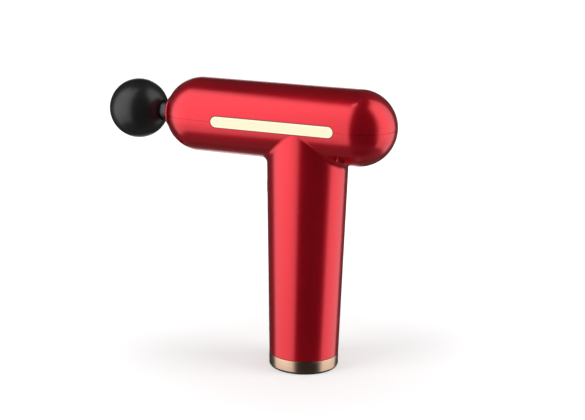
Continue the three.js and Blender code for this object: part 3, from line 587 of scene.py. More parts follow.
# ---------------------------------------------------------------------------------------------
# Nose collar: a turned ring in the front dome, lacquered like the casing. The piston runs out
# through it, and a rubber lip seal behind it keeps dust out of the drive.
# ---------------------------------------------------------------------------------------------
collar_low, collar_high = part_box("nose_collar")
collar_bore = 6.9 * MM
flange_thickness = 1.5 * MM
collar_web = 3.6 * MM
seal_pocket = collar_radius - 1.0 * MM
flange_radius = collar_high.z - barrel_z
collar_outline = rounded([
    (collar_bore, collar_low.x, 0.4 * MM),
    (collar_radius, collar_low.x, 1.7 * MM),
    (collar_radius, collar_high.x - flange_thickness, 0),
    (flange_radius, collar_high.x - flange_thickness, 0.2 * MM),
    (flange_radius, collar_high.x, 0.2 * MM),
    (seal_pocket, collar_high.x, 0),
    (seal_pocket, collar_low.x + collar_web, 0),
    (collar_bore, collar_low.x + collar_web, 0.2 * MM),
])
collar = turned("nose_collar_ring", collar_outline, "X", at_axis, 128)
add_piece(collar, "casing", "casing_red", red_lacquer, "nose_collar")

seal_rubber = finish("seal_rubber", (0.012, 0.012, 0.013), (0.022, 0.022, 0.024), (0.55, 0.7),
                     grain=2500, patch=120, relief=0.2)
seal_low, seal_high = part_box("nose_seal")
seal_bore = 6.3 * MM
seal_radius = seal_high.z - barrel_z
seal_outline = rounded([
    (seal_bore, seal_low.x, 0.5 * MM),
    (seal_radius, seal_low.x, 0.3 * MM),
    (seal_radius, seal_high.x, 0.3 * MM),
    (seal_bore, seal_high.x, 0.5 * MM),
])
seal = turned("nose_lip_seal", seal_outline, "X", at_axis)
add_piece(seal, "casing", "foot_rubber", seal_rubber, "nose_seal")

# ---------------------------------------------------------------------------------------------
# Light strips: a moulded bar of milky polycarbonate in a slot on each side of the barrel, lit
# from behind by a row of warm white LEDs. It stands a little proud, with a painted highlight on its edge.
# ---------------------------------------------------------------------------------------------
strip_proud = -strip_low.y - barrel_radius
strip_inner = -strip_high.y
strip_edge = 0.55 * MM
strip_rim = 0.65 * MM
strip_lit_depth = 0.5 * MM
rim_highlight_end = 1.35 * strip_rim


def light_strip(name, side):
    """The bar, with the share of painted rim highlight stored at its points."""
    face_radius = barrel_radius + strip_proud
    angles = [math.pi / 2 * k / 5 for k in range(6)]
    arc = [(-strip_edge * (1 - math.sin(a)), strip_edge * (1 - math.cos(a))) for a in angles]
    rings = [(0, face_radius - strip_inner), (0, strip_edge + strip_lit_depth)]
    rings += list(reversed(arc))
    rings += [(-strip_rim, 0), (-rim_highlight_end, 0), (-strip_height * 0.35, 0), (-strip_height * 0.48, 0)]
    bar = stadium_rings(name, strip_length, strip_height, rings, side, face_radius)
    # Painted highlight: the share of whiter glow along the bar's rim.
    glow = bar.data.attributes.new("rim_glow", "FLOAT", "POINT")
    p = coordinates(bar.data)
    straight = strip_length / 2 - strip_height / 2
    dx = np.maximum(np.abs(p[:, 0] - strip_centre_x) - straight, 0)
    inside = strip_height / 2 - np.hypot(dx, p[:, 2] - barrel_z)
    level = np.clip((rim_highlight_end - inside) / (rim_highlight_end - strip_rim), 0, 1)
    glow.data.foreach_set("value", level.astype(np.float32))
    lit = bar.data.attributes.new("lit", "FLOAT", "POINT")
    depth = face_radius - np.hypot(p[:, 1], p[:, 2] - barrel_z)
    lit.data.foreach_set("value", np.clip(1.4 - depth / strip_edge, 0, 1).astype(np.float32))
    return bar


milky = finish("milky_diffuser", (0.05, 0.042, 0.03), (0.06, 0.05, 0.035), (0.4, 0.46),
               grain=900, patch=60, relief=0.01, Emission_Strength=1.0)
tree = milky.node_tree
# Painted highlight: the glow turns whiter towards the bar's rim.
rim_highlight_value = add(tree, "ShaderNodeAttribute", attribute_name="rim_glow")
glow_with_rim_highlight = add(tree, "ShaderNodeMix",
               {"Factor": rim_highlight_value.outputs["Fac"], "A": (1.0, 0.86, 0.60, 1), "B": (1.0, 0.95, 0.70, 1)},
               data_type="RGBA")
lit_value = add(tree, "ShaderNodeAttribute", attribute_name="lit")
lit_glow = add(tree, "ShaderNodeMix",
               {"Factor": lit_value.outputs["Fac"], "A": (0, 0, 0, 1), "B": glow_with_rim_highlight.outputs["Result"]},
               data_type="RGBA")
tree.links.new(lit_glow.outputs["Result"], tree.nodes["Principled BSDF"].inputs["Emission Color"])
for side, label in ((-1, "left"), (1, "right")):
    bar = light_strip(f"light_bar_{label}", side)
    add_piece(bar, "casing", "light_guide", milky, f"light_strip_{label}")

# ---------------------------------------------------------------------------------------------
# Foot: a turned aluminium ring, anodised champagne, its two edges broken with a small bright
# chamfer. A black rubber pad is glued under it and carries the weight.
# ---------------------------------------------------------------------------------------------
ring_wall = 1.4 * MM
ring_edge = 0.45 * MM
ring_inner = foot_radius - ring_wall
lip_width = 1.7 * MM
ring_lip = (3.6 * MM, 5.2 * MM)
ring_outline = rounded([
    (ring_inner, ring_low.z, 0.2 * MM),
    (foot_radius, ring_low.z, ring_edge),
    (foot_radius, ring_high.z, ring_edge),
    (ring_inner, ring_high.z, 0.2 * MM),
    (ring_inner, ring_lip[1], 0),
    (ring_inner - lip_width, ring_lip[1], 0.2 * MM),
    (ring_inner - lip_width, ring_lip[0], 0.2 * MM),
    (ring_inner, ring_lip[0], 0),
], 6)
ring = turned("foot_ring", ring_outline, "Z", (0, 0, 0), 192)
champagne = finish("champagne_anodised", (0.60, 0.40, 0.28), (0.72, 0.50, 0.36), (0.22, 0.28),
                   grain=2200, patch=45, relief=0.12, stretch=(0.12, 0.12, 1.6), Metallic=1.0)
add_piece(ring, "casing", "champagne_metal", champagne, "base_ring")

pad_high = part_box("foot_pad")[1]
pad_rim_top = 0.6 * MM
pad_radius = 19.0 * MM
pad_outline = rounded([
    (0, 0, 0),
    (pad_high.x, 0, 0.25 * MM),
    (pad_high.x, pad_rim_top, 0.15 * MM),
    (pad_radius, pad_rim_top, 0),
    (pad_radius, pad_high.z, 0.1 * MM),
    (0, pad_high.z, 0),
])
pad = turned("foot_pad_rubber", pad_outline, "Z", (0, 0, 0), 160)
port_low, port_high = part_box("charge_port")
port_x = middle("charge_port").x
plug_half = Vector((3.5 * MM, 6.3 * MM))
plug_corner = 1.5 * MM
pad_grooves = (16.6 * MM, 15.7 * MM, 14.8 * MM)
groove_depth = 0.25 * MM


def slab(name, outline, low, high):
    """A plane outline given thickness."""
    points = [(x, y, z) for z in (low, high) for x, y in outline]
    return solid_mesh(name, points, ring_faces(len(outline), 2))


def rounded_box(name, x_range, y_half, z_range, radius):
    """An upright block with round corners in plan."""
    x0, x1 = x_range
    corners = [(x0, -y_half, radius), (x1, -y_half, radius), (x1, y_half, radius), (x0, y_half, radius)]
    return slab(name, rounded(corners, 6), *z_range)


def plug_way(low, high):
    """The space that the plug goes through, with the size of its moulded grip."""
    return rounded_box("plug_way", (port_x - plug_half.x, port_x + plug_half.x), plug_half.y,
                       (low, high), plug_corner)


cut(pad, plug_way(-1 * MM, 3 * MM))
for radius in pad_grooves:
    groove = [(radius - 0.2 * MM, -0.1 * MM), (radius + 0.2 * MM, -0.1 * MM),
              (radius + 0.12 * MM, groove_depth), (radius - 0.12 * MM, groove_depth)]
    cut(pad, turned("pad_groove", groove, "Z", (0, 0, 0), 120))
shade(pad)
foot_rubber = finish("foot_rubber", (0.008, 0.008, 0.008), (0.018, 0.018, 0.018), (0.7, 0.85),
                     grain=3000, patch=90, relief=0.3)
add_piece(pad, "casing", "foot_rubber", foot_rubber, "foot_pad")

# ---------------------------------------------------------------------------------------------
# Ball head: a moulded ball of firm black foam rubber with a satin skin. Its stem pushes into the
# piston, and a rubber ring in a groove holds it there.
# ---------------------------------------------------------------------------------------------
ball_low, ball_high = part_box("head_ball")
ball_radius = 17.8 * MM
ball_x = ball_low.x + ball_radius
stem_low, stem_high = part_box("head_stem")
stem_radius = stem_high.z - barrel_z
stem_hole = stem_radius + fit
boss_wall = 2.5 * MM
ball_wall = 3.0 * MM
ball_flat = 6.4 * MM
ball_edge = 0.5 * MM


def ball_profile():
    """Outer skin from the far pole to the flat, then the stem's hole and the hollow inside."""
    flat_angle = math.asin(ball_flat / ball_radius)
    outer = [(ball_radius * math.sin(a), ball_x - ball_radius * math.cos(a))
             for a in [(math.pi - flat_angle) * k / 90 for k in range(91)]]
    outer[0] = (0, ball_low.x)
    hole = [(ball_flat - ball_edge, ball_high.x), (stem_hole, ball_high.x), (stem_hole, stem_low.x)]
    boss = stem_hole + boss_wall
    inner = ball_radius - ball_wall
    join = math.asin(boss / inner)
    hollow = [(boss, stem_low.x)] + [
        (inner * math.sin(a), ball_x - inner * math.cos(a))
        for a in [math.pi - join - (math.pi - join) * k / 40 for k in range(41)]
    ]
    hollow[-1] = (0, ball_x - inner)
    return outer, hole, hollow


outer, hole, hollow = ball_profile()
ball = turned("ball_head", outer + hole + hollow, "X", at_axis, 144)
ball_rubber = finish("ball_rubber", (0.007, 0.007, 0.0075), (0.012, 0.012, 0.013), (0.30, 0.34),
                     grain=2600, patch=35, relief=0.04, IOR=1.55)
add_piece(ball, "head", "head_rubber", ball_rubber, "head_ball")

# ---------------------------------------------------------------------------------------------
# Screws: blackened steel pan heads with a cross recess and a coarse thread, turned by chance to
# different angles. Four close the casing, two hold the foot and three hold the motor.
# ---------------------------------------------------------------------------------------------
screw_head_height = 1.7 * MM
screw_head_radius = 2.4 * MM
screw_shank_radius = 1.3 * MM
recess_width = 0.7 * MM
recess_depth = 1.0 * MM
thread_pitch = 0.8 * MM
thread_depth = 0.28 * MM


def screw_blank(name, head_radius, head_height, shank_radius, length):
    """One screw before its thread is rolled, head down, standing on z = 0."""
    head = rounded([(0, 0, 0), (head_radius, 0, 0.5 * MM), (head_radius, head_height, 0.1 * MM),
                    (shank_radius, head_height, 0)], 4)
    rings = int((length - head_height) / thread_pitch * 6)
    shank = [(shank_radius, head_height + (length - head_height - 0.6 * MM) * k / rings)
             for k in range(1, rings + 1)]
    blank = turned(name, head + shank + [(shank_radius * 0.45, length), (0, length)], steps=24)
    reach = head_radius * 0.62
    for wide, deep in ((recess_width / 2, reach), (reach, recess_width / 2)):
        cut(blank, block("recess", (-wide, -deep, -recess_depth), (wide, deep, recess_depth)))
    return blank


def screw_tree():
    """Places a screw on each point, rolls its thread and turns it."""
    tree = bpy.data.node_groups.new("screws_in_place", "GeometryNodeTree")
    tree.interface.new_socket("Geometry", in_out="INPUT", socket_type="NodeSocketGeometry")
    for label, kind in (("Screw", "Object"), ("Thread Start", "Float"), ("Thread Pitch", "Float"),
                        ("Thread Depth", "Float"), ("Upside Down", "Float"), ("Turn Seed", "Int"),
                        ("Material", "Material")):
        tree.interface.new_socket(label, in_out="INPUT", socket_type="NodeSocket" + kind)
    tree.interface.new_socket("Geometry", in_out="OUTPUT", socket_type="NodeSocketGeometry")
    given = add(tree, "NodeGroupInput").outputs

    def maths(operation, *values):
        return add(tree, "ShaderNodeMath", dict(enumerate(values)), operation=operation).outputs[0]

    # The thread: each point of the shank sinks by its place between two crests.
    source = add(tree, "GeometryNodeObjectInfo", {"Object": given["Screw"]}, transform_space="ORIGINAL")
    place = add(tree, "GeometryNodeInputPosition")
    x, y, z = add(tree, "ShaderNodeSeparateXYZ", {0: place.outputs["Position"]}).outputs
    angle = maths("DIVIDE", maths("ARCTAN2", y, x), 2 * math.pi)
    turns = maths("SUBTRACT", maths("DIVIDE", z, given["Thread Pitch"]), angle)
    valley = maths("ABSOLUTE", maths("SUBTRACT", maths("FRACT", turns), 0.5))
    depth = maths("MULTIPLY", maths("MULTIPLY", valley, -2.0), given["Thread Depth"])
    depth = maths("MULTIPLY", depth, maths("GREATER_THAN", z, given["Thread Start"]))
    outward = add(tree, "ShaderNodeCombineXYZ", {0: x, 1: y})
    unit = add(tree, "ShaderNodeVectorMath", {0: outward.outputs[0]}, operation="NORMALIZE")
    push = add(tree, "ShaderNodeVectorMath", {0: unit.outputs[0], "Scale": depth}, operation="SCALE")
    roll = add(tree, "GeometryNodeSetPosition",
               {"Geometry": source.outputs["Geometry"], "Offset": push.outputs[0]})

    # The screws: one on each point, head down or up, turned by chance.
    chance = add(tree, "FunctionNodeRandomValue", {3: 2 * math.pi, "Seed": given["Turn Seed"]},
                 data_type="FLOAT")
    tip = maths("MULTIPLY", given["Upside Down"], math.pi)
    euler = add(tree, "ShaderNodeCombineXYZ", {0: tip, 2: chance.outputs[1]})
    spin = add(tree, "FunctionNodeEulerToRotation", {0: euler.outputs[0]})
    instances = add(tree, "GeometryNodeInstanceOnPoints",
                    {"Points": given["Geometry"], "Instance": roll.outputs["Geometry"],
                     "Rotation": spin.outputs[0]})
    real = add(tree, "GeometryNodeRealizeInstances", {"Geometry": instances.outputs["Instances"]})
    dress = add(tree, "GeometryNodeSetMaterial",
                {"Geometry": real.outputs["Geometry"], "Material": given["Material"]})
    add(tree, "NodeGroupOutput", {0: dress.outputs["Geometry"]})
    return tree


def set_inputs(modifier, **values):
    """Sets a geometry tree's inputs by their names."""
    for item in modifier.node_group.interface.items_tree:
        if item.in_out == "INPUT" and item.name.replace(" ", "_") in values:
            modifier[item.identifier] = values[item.name.replace(" ", "_")]


screw_steel = finish("blackened_screw_steel", (0.030, 0.030, 0.033), (0.075, 0.075, 0.08), (0.28, 0.42),
                     grain=4000, patch=300, relief=0.12, Metallic=1.0)
screws_in_place = screw_tree()


def screws(name, nodes_replaced, head_radius, head_height, shank_radius, upside_down, seed):
    """One piece of like screws, each where its plain one stands."""
    boxes = [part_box(node) for node in nodes_replaced]
    blank = screw_blank(name + "_blank", head_radius, head_height, shank_radius,
                        boxes[0][1].z - boxes[0][0].z)
    spots = [((low + high) / 2).xy.to_3d() + Vector((0, 0, high.z if upside_down else low.z))
             for low, high in boxes]
    mesh = bpy.data.meshes.new(name)
    mesh.from_pydata([tuple(p) for p in spots], [], [])
    piece = link(bpy.data.objects.new(name, mesh))
    modifier = piece.modifiers.new("screws", "NODES")
    modifier.node_group = screws_in_place
    set_inputs(modifier, Screw=blank, Thread_Start=head_height + thread_pitch,
               Thread_Pitch=thread_pitch, Thread_Depth=thread_depth * shank_radius / screw_shank_radius,
               Upside_Down=float(upside_down), Turn_Seed=seed, Material=screw_steel)
    work_in(piece)
    bpy.data.objects.remove(blank)
    add_piece(shade(piece, 35), "casing", "screw_steel", screw_steel, *nodes_replaced)


screws("case_screws", [f"case_screw_{i}" for i in (1, 2, 3, 4)],
       screw_head_radius, screw_head_height, screw_shank_radius, False, 3)
base_head_height = 0.85 * MM
screws("base_screws", ["base_screw_1", "base_screw_2"],
       screw_head_radius, base_head_height, screw_shank_radius, False, 5)
motor_head_radius = 2.3 * MM
motor_shank_radius = 1.25 * MM
screws("motor_screws", [f"motor_screw_{i}" for i in (1, 2, 3)],
       motor_head_radius, screw_head_height, motor_shank_radius, True, 8)

# ---------------------------------------------------------------------------------------------
# Power button: a moulded cap and its bezel in the front of the grip, both following the grip's
# curve. Behind them a small push switch sits on its own board.
# ---------------------------------------------------------------------------------------------
black_plastic = finish("black_plastic", (0.010, 0.010, 0.011), (0.022, 0.022, 0.023), (0.42, 0.55),
                       grain=3200, patch=80, relief=0.15)
button_low, button_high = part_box("power_button")
button_radius = (button_high.z - button_low.z) / 2
bezel_proud = 0.25 * MM
button_proud = 0.15 * MM


def eased(obj, width, segments=2, angle=30):
    """Breaks the piece's sharp edges by a small round."""
    bevel = obj.modifiers.new("eased", "BEVEL")
    bevel.width = width
    bevel.segments = segments
    bevel.limit_method = "ANGLE"
    bevel.angle_limit = math.radians(angle)
    return shade(work_in(obj), 35)


bezel = rod("button_surround", bezel_radius, bezel_low.x - 1 * MM, bezel_high.x, "X", at_button, 96)
bore(bezel, button_radius + fit, grip_front, 0, "X", at_button, 96)
cut(bezel, grip_column("bezel_skin", -bezel_proud, grip_foot_z, grip_top_z), "INTERSECT")
add_piece(eased(bezel, 0.12 * MM), "casing", "black_plastic", black_plastic, "button_bezel")

button_stem_radius = 1.5 * MM
button_stem_reach = 0.8 * MM
button_skirt = button_high.x - button_stem_reach
cap = rod("button_cap", button_radius, button_low.x - 1 * MM, button_skirt, "X", at_button, 96)
cut(cap, grip_column("cap_skin", -button_proud, grip_foot_z, grip_top_z), "INTERSECT")
dish_radius = 22 * MM
dish_depth = 0.5 * MM
dish_spread = 0.2
dish_centre_x = button_low.x + dish_depth - dish_radius
dish = [(dish_radius * math.sin(a), dish_centre_x + dish_radius * math.cos(a))
        for a in np.linspace(0, dish_spread, 13)]
dish += [(dish_radius * math.sin(dish_spread), grip_front), (0, grip_front)]
cut(cap, turned("dish", dish, "X", at_button, 96))
button_stem = rod("cap_stem", button_stem_radius, button_skirt - 0.5 * MM, button_high.x, "X", at_button, 32)
cut(cap, button_stem, "UNION")
add_piece(eased(cap, 0.15 * MM), "button", "black_plastic", black_plastic, "power_button")

# ---------------------------------------------------------------------------------------------
# Base cover and charging socket: a moulded disc behind the rubber pad closes the grip, with a
# well for the plug. The socket is a drawn steel shell round a tongue of gold contacts.
# ---------------------------------------------------------------------------------------------
cover_low, cover_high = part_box("base_cover")
cover_bottom = cover_low.z
cover_top = cover_bottom + 2 * MM
well_wall = 1.4 * MM
well_corner = 1.8 * MM
foot_screw_y = middle("base_screw_2").y
board_post_radius = 1.8 * MM
board_post_x = -5 * MM
board_post_y = 6 * MM
board_low, board_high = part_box("charge_board")
cover_radius = (cover_high.y - cover_low.y) / 2

cover = turned("foot_cover", rounded([(0, cover_bottom, 0), (cover_radius, cover_bottom, 0.25 * MM),
                                      (cover_radius, cover_top, 0.25 * MM), (0, cover_top, 0)]), steps=128)
well_x = plug_half.x + well_wall
well_y = plug_half.y + well_wall
cut(cover, rounded_box("well", (port_x - well_x, port_x + well_x), well_y,
                       (cover_bottom, port_low.z - fit), well_corner), "UNION")
post_radius = screw_shank_radius + fit + post_wall
for y in (-foot_screw_y, foot_screw_y):
    post = rod("foot_post", post_radius, cover_bottom, ring_high.z, "Z", (0, y, 0), 48)
    cut(post, rod("post_trim", ring_inner - lip_width - fit, 0, ring_high.z, steps=128), "INTERSECT")
    cut(cover, post, "UNION")
for y in (-board_post_y, board_post_y):
    at_post = (board_post_x, y, 0)
    post = rod("board_post", board_post_radius, cover_bottom, board_low.z - fit, "Z", at_post, 32)
    cut(cover, post, "UNION")
above_cover = 20 * MM
for y in (-foot_screw_y, foot_screw_y):
    bore(cover, screw_shank_radius + fit, 0, above_cover, "Z", (0, y, 0), 32)
    bore(cover, screw_head_radius + fit, 0, cover_bottom + 1 * MM, "Z", (0, y, 0), 48)
cut(cover, plug_way(-1 * MM, above_cover))
add_piece(shade(cover), "casing", "black_plastic", black_plastic, "base_cover")


def oblong(name, half_width, radius, low, high):
    """An upright bar with round ends, long along Y, at the socket."""
    outline = [(port_x + b, a) for a, b in stadium(2 * half_width, 2 * radius, 16)]
    return slab(name, outline, low, high)


port_half_width = (port_high.y - port_low.y) / 2
port_radius = (port_high.x - port_low.x) / 2
port_wall = 0.4 * MM
port_back = 1.2 * MM
shell = oblong("socket_shell", port_half_width, port_radius, port_low.z, port_high.z)
cut(shell, oblong("socket_mouth", port_half_width - port_wall, port_radius - port_wall,
                  port_low.z - 1 * MM, port_high.z - port_back))
eased(shell, 0.08 * MM)
bright_steel = finish("bright_steel", (0.48, 0.48, 0.50), (0.60, 0.60, 0.62), (0.20, 0.32),
                      grain=3500, patch=150, relief=0.08, Metallic=1.0)
tongue_half = Vector((0.35 * MM, port_half_width - port_radius))
tongue = block("socket_tongue", (port_x - tongue_half.x, -tongue_half.y, port_low.z + 0.8 * MM),
               (port_x + tongue_half.x, tongue_half.y, port_high.z - 1.0 * MM))
eased(tongue, 0.12 * MM)
add_piece(shell, "casing", "steel", bright_steel, "charge_port")
add_piece(tongue, "casing", "black_plastic", black_plastic)

# ---------------------------------------------------------------------------------------------
# Piston, stem and rod: a black anodised bar, forked behind for the connecting rod and bored in
# front for the head's stem. The rod is milled alloy with a pocket, on a bearing and two pins.
# ---------------------------------------------------------------------------------------------
piston_low, piston_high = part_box("piston")
piston_radius = piston_high.z - barrel_z
rod_low, rod_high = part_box("connecting_rod")
socket_radius = stem_radius + 0.4 * MM
socket_depth = 26.6 * MM
socket_chamfer = 0.4 * MM
socket_end = piston_low.x + socket_depth
wrist_low, wrist_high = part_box("wrist_pin")
wrist_x = middle("wrist_pin").x
fork_reach = 6.5 * MM
wrist_radius = (wrist_high.x - wrist_low.x) / 2
fork_clearance = 0.1 * MM

black_alloy = finish("black_anodised_alloy", (0.075, 0.075, 0.078), (0.10, 0.10, 0.105), (0.30, 0.38),
                     grain=2500, patch=60, relief=0.1, stretch=(1, 0.25, 0.25), Metallic=1.0)
frame_alloy = finish("milled_alloy", (0.34, 0.34, 0.36), (0.46, 0.46, 0.48), (0.30, 0.42),
                     grain=2600, patch=90, relief=0.15, stretch=(1, 0.3, 1), Metallic=1.0)

bar_outline = rounded([(0, piston_low.x, 0), (piston_radius, piston_low.x, 0.5 * MM),
                       (piston_radius, piston_high.x, 0.8 * MM), (0, piston_high.x, 0)])
bar = turned("piston_bar", bar_outline, "X", at_axis, 128)
socket_outline = [
    (0, piston_low.x - 1 * MM),
    (socket_radius + socket_chamfer, piston_low.x - 1 * MM),
    (socket_radius + socket_chamfer, piston_low.x),
    (socket_radius, piston_low.x + socket_chamfer),
    (socket_radius, socket_end),
    (0, socket_end),
]
cut(bar, turned("socket", socket_outline, "X", at_axis, 96))
past_bar = 20 * MM
cut(bar, block("fork", (wrist_x - fork_reach, -past_bar, rod_low.z - fork_clearance),
               (0, past_bar, rod_high.z + fork_clearance)))
bore(bar, wrist_radius + fit, barrel_z - past_bar, barrel_z + past_bar, "Z", (wrist_x, 0, 0), 48)
add_piece(shade(bar), "piston", "black_alloy", black_alloy, "piston")

ring_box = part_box("stem_ring")
stem_ring_x = middle("stem_ring").x
ring_thick = (ring_box[1].x - ring_box[0].x) / 2
ring_middle = ring_box[1].z - barrel_z - ring_thick
groove_half = ring_thick + fit
groove_radius = ring_middle - ring_thick - 0.15 * MM
stem_outline = rounded([
    (0, stem_low.x, 0),
    (stem_radius, stem_low.x, 0.4 * MM),
    (stem_radius, stem_ring_x - groove_half, 0.15 * MM),
    (groove_radius, stem_ring_x - groove_half, 0),
    (groove_radius, stem_ring_x + groove_half, 0),
    (stem_radius, stem_ring_x + groove_half, 0.15 * MM),
    (stem_radius, stem_high.x, 0.9 * MM),
    (0, stem_high.x, 0),
], 6)
stem = turned("head_push_stem", stem_outline, "X", at_axis, 96)
add_piece(stem, "head", "black_plastic", black_plastic, "head_stem")
ring_angles = [2 * math.pi * k / 16 for k in range(16)]
ring_outline = [(ring_middle + ring_thick * math.cos(a), stem_ring_x + ring_thick * math.sin(a))
                for a in ring_angles]
push_ring = turned("stem_rubber_ring", ring_outline, "X", at_axis, 96)
add_piece(push_ring, "head", "foot_rubber", seal_rubber, "stem_ring")


def chamfered_pin(name, radius, low, high, spot, edge=0.3 * MM):
    outline = [(0, low), (radius - edge, low), (radius, low + edge), (radius, high - edge),
               (radius - edge, high), (0, high)]
    return turned(name, outline, "Z", (spot[0], spot[1], 0), 64)


wrist = chamfered_pin("wrist_steel_pin", wrist_radius, wrist_low.z, wrist_high.z, (wrist_x, 0))
add_piece(wrist, "piston", "steel", bright_steel, "wrist_pin")

pin_low, pin_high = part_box("crank_pin")
crank_x = middle("crank_pin").x
at_crank = (crank_x, 0, 0)
at_wrist = (wrist_x, 0, 0)
bearing_low, bearing_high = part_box("rod_bearing")
pin_radius = 3 * MM
pin_head_radius = (pin_high.x - pin_low.x) / 2
pin_outline = rounded([
    (0, pin_low.z, 0),
    (pin_radius, pin_low.z, 0.3 * MM),
    (pin_radius, bearing_high.z + fit, 0.1 * MM),
    (pin_head_radius, bearing_high.z + fit, 0.2 * MM),
    (pin_head_radius, pin_high.z, 0.5 * MM),
    (0, pin_high.z, 0),
])
hexagon_radius = 1.5 * MM
crank_pin = turned("crank_steel_pin", pin_outline, "Z", at_crank, 64)
bore(crank_pin, hexagon_radius, pin_high.z - 1 * MM, pin_high.z + 1 * MM, "Z", at_crank, 6)
add_piece(shade(crank_pin), "rod", "screw_steel", screw_steel, "crank_pin")


def ball_bearing(name, outer, inside, low, high, spot, body, node):
    """Two ground rings with a shield set a little back between them."""
    ring_share = 0.27
    inner_ring = inside + (outer - inside) * ring_share
    outer_ring = outer - (outer - inside) * ring_share
    sink = 0.25 * MM
    edge = 0.2 * MM
    outline = rounded([
        (inside, low, edge), (inner_ring, low, 0), (inner_ring, low + sink, 0), (outer_ring, low + sink, 0),
        (outer_ring, low, 0), (outer, low, edge), (outer, high, edge), (outer_ring, high, 0),
        (outer_ring, high - sink, 0), (inner_ring, high - sink, 0), (inner_ring, high, 0),
        (inside, high, edge),
    ], 3)
    bearing = turned(name, outline, "Z", (spot[0], spot[1], 0), 96)
    add_piece(bearing, body, "steel", bright_steel, node)


rod_bearing_radius = (bearing_high.x - bearing_low.x) / 2
ball_bearing("rod_ball_bearing", rod_bearing_radius, pin_radius + fit, bearing_low.z, bearing_high.z,
             (crank_x, 0), "rod", "rod_bearing")

rod_width = 6.6 * MM
small_eye = wrist_x - rod_low.x
big_eye = rod_high.x - crank_x
pocket_depth = 1.1 * MM
pocket_margin = 1.2 * MM
pocket_rib = 1.3 * MM
rod_below = rod_low.z - 1 * MM
rod_above = rod_high.z + 1 * MM

link_rod = slab("rod_milled", [(crank_x, -rod_width / 2), (crank_x, rod_width / 2),
                               (wrist_x, rod_width / 2), (wrist_x, -rod_width / 2)], rod_low.z, rod_high.z)
for at, radius in ((at_crank, big_eye), (at_wrist, small_eye)):
    eye = rounded([(0, rod_low.z, 0), (radius, rod_low.z, 0.3 * MM),
                   (radius, rod_high.z, 0.3 * MM), (0, rod_high.z, 0)], 3)
    cut(link_rod, turned("eye", eye, "Z", at, 96), "UNION")
bore(link_rod, rod_bearing_radius + fit, rod_below, rod_above, "Z", at_crank, 96)
bore(link_rod, wrist_radius + fork_clearance, rod_below, rod_above, "Z", at_wrist, 48)
pocket_span = (wrist_x + small_eye + pocket_margin, crank_x - big_eye - pocket_margin)
for z_range in ((rod_below, rod_low.z + pocket_depth), (rod_high.z - pocket_depth, rod_above)):
    cut(link_rod, rounded_box("pocket", pocket_span, rod_width / 2 - pocket_rib, z_range, 1.4 * MM))
add_piece(shade(link_rod), "rod", "steel", frame_alloy, "connecting_rod")

# ---------------------------------------------------------------------------------------------
# Crank and motor: an outrunner. The steel can with its ring of magnets turns round a wound
# stator on a cast mount, and a shaft in two bearings carries the crank's weighted disc on top.
# ---------------------------------------------------------------------------------------------
disc_low, disc_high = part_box("crank_disc")
disc_radius = disc_high.x
weight_radius = -disc_low.x
shaft_low, shaft_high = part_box("motor_shaft")
shaft_radius = shaft_high.x
disc_outline = [(disc_radius * math.cos(a), disc_radius * math.sin(a))
                for a in np.linspace(-math.pi / 2, math.pi / 2, 49)]
disc_outline += [(weight_radius * math.cos(a), weight_radius * math.sin(a))
                 for a in np.linspace(math.pi / 2, 3 * math.pi / 2, 65)]
disc = eased(slab("crank_weight_disc", disc_outline, disc_low.z, disc_high.z), 0.3 * MM)
pin_seat_radius = 1.25 * MM
disc_floor = 1 * MM
bore(disc, shaft_radius + fork_clearance, disc_low.z - 1 * MM, disc_high.z + 1 * MM, steps=48)
bore(disc, pin_seat_radius, disc_low.z + disc_floor, disc_high.z + 1 * MM, "Z", at_crank, 48)
add_piece(shade(disc), "rotor", "steel", bright_steel, "crank_disc")

shaft = chamfered_pin("motor_steel_shaft", shaft_radius, shaft_low.z, shaft_high.z, (0, 0), 0.25 * MM)
add_piece(shaft, "rotor", "steel", bright_steel, "motor_shaft")

mount_low, mount_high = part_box("motor_mount")
mount_flange = 2.5 * MM
flange_bottom = mount_high.z - mount_flange
tube_radius = 6.3 * MM
tube_bore = 5 * MM
motor_screw_hole = 1.55 * MM
motor_screw_circle = middle("motor_screw_1").y
motor_screw_angles = [math.pi / 2 + 2 * math.pi * k / 3 for k in range(3)]
motor_screw_spots = [(motor_screw_circle * math.cos(a), motor_screw_circle * math.sin(a), 0)
                     for a in motor_screw_angles]
mount = turned("motor_cast_mount", rounded([
    (tube_bore, mount_low.z, 0.3 * MM),
    (tube_radius, mount_low.z, 0.3 * MM),
    (tube_radius, flange_bottom, 0),
    (mount_high.x, flange_bottom, 0.4 * MM),
    (mount_high.x, mount_high.z, 0.4 * MM),
    (tube_bore, mount_high.z, 0.2 * MM),
]), steps=128)
for spot in motor_screw_spots:
    bore(mount, motor_screw_hole, flange_bottom - 1 * MM, mount_high.z + 1 * MM, "Z", spot, 32)
shade(mount)
cast_alloy = finish("cast_alloy", (0.36, 0.36, 0.38), (0.47, 0.47, 0.49), (0.42, 0.55),
                    grain=1800, patch=120, relief=0.3, Metallic=1.0)
add_piece(mount, "casing", "motor_alloy", cast_alloy, "motor_mount")

for place in ("lower", "upper"):
    low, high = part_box(f"motor_bearing_{place}")
    ball_bearing(f"motor_ball_bearing_{place}", high.x, shaft_radius + fork_clearance, low.z, high.z,
                 (0, 0), "casing", f"motor_bearing_{place}")

can_low, can_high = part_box("rotor_can")
can_wall = 1.1 * MM
can_floor = 1.5 * MM
can = turned("rotor_steel_can", rounded([
    (shaft_radius + fork_clearance, can_low.z, 0.1 * MM),
    (can_high.x, can_low.z, 0.9 * MM),
    (can_high.x, can_high.z, 0.25 * MM),
    (can_high.x - can_wall, can_high.z, 0.25 * MM),
    (can_high.x - can_wall, can_low.z + can_floor, 0.3 * MM),
    (shaft_radius + fork_clearance, can_low.z + can_floor, 0.1 * MM),
]), steps=160)
dark_alloy = finish("turned_dark_steel", (0.11, 0.11, 0.12), (0.17, 0.17, 0.18), (0.26, 0.36),
                    grain=2400, patch=70, relief=0.12, stretch=(0.3, 0.3, 1.5), Metallic=1.0)
add_piece(can, "rotor", "motor_alloy", dark_alloy, "rotor_can")

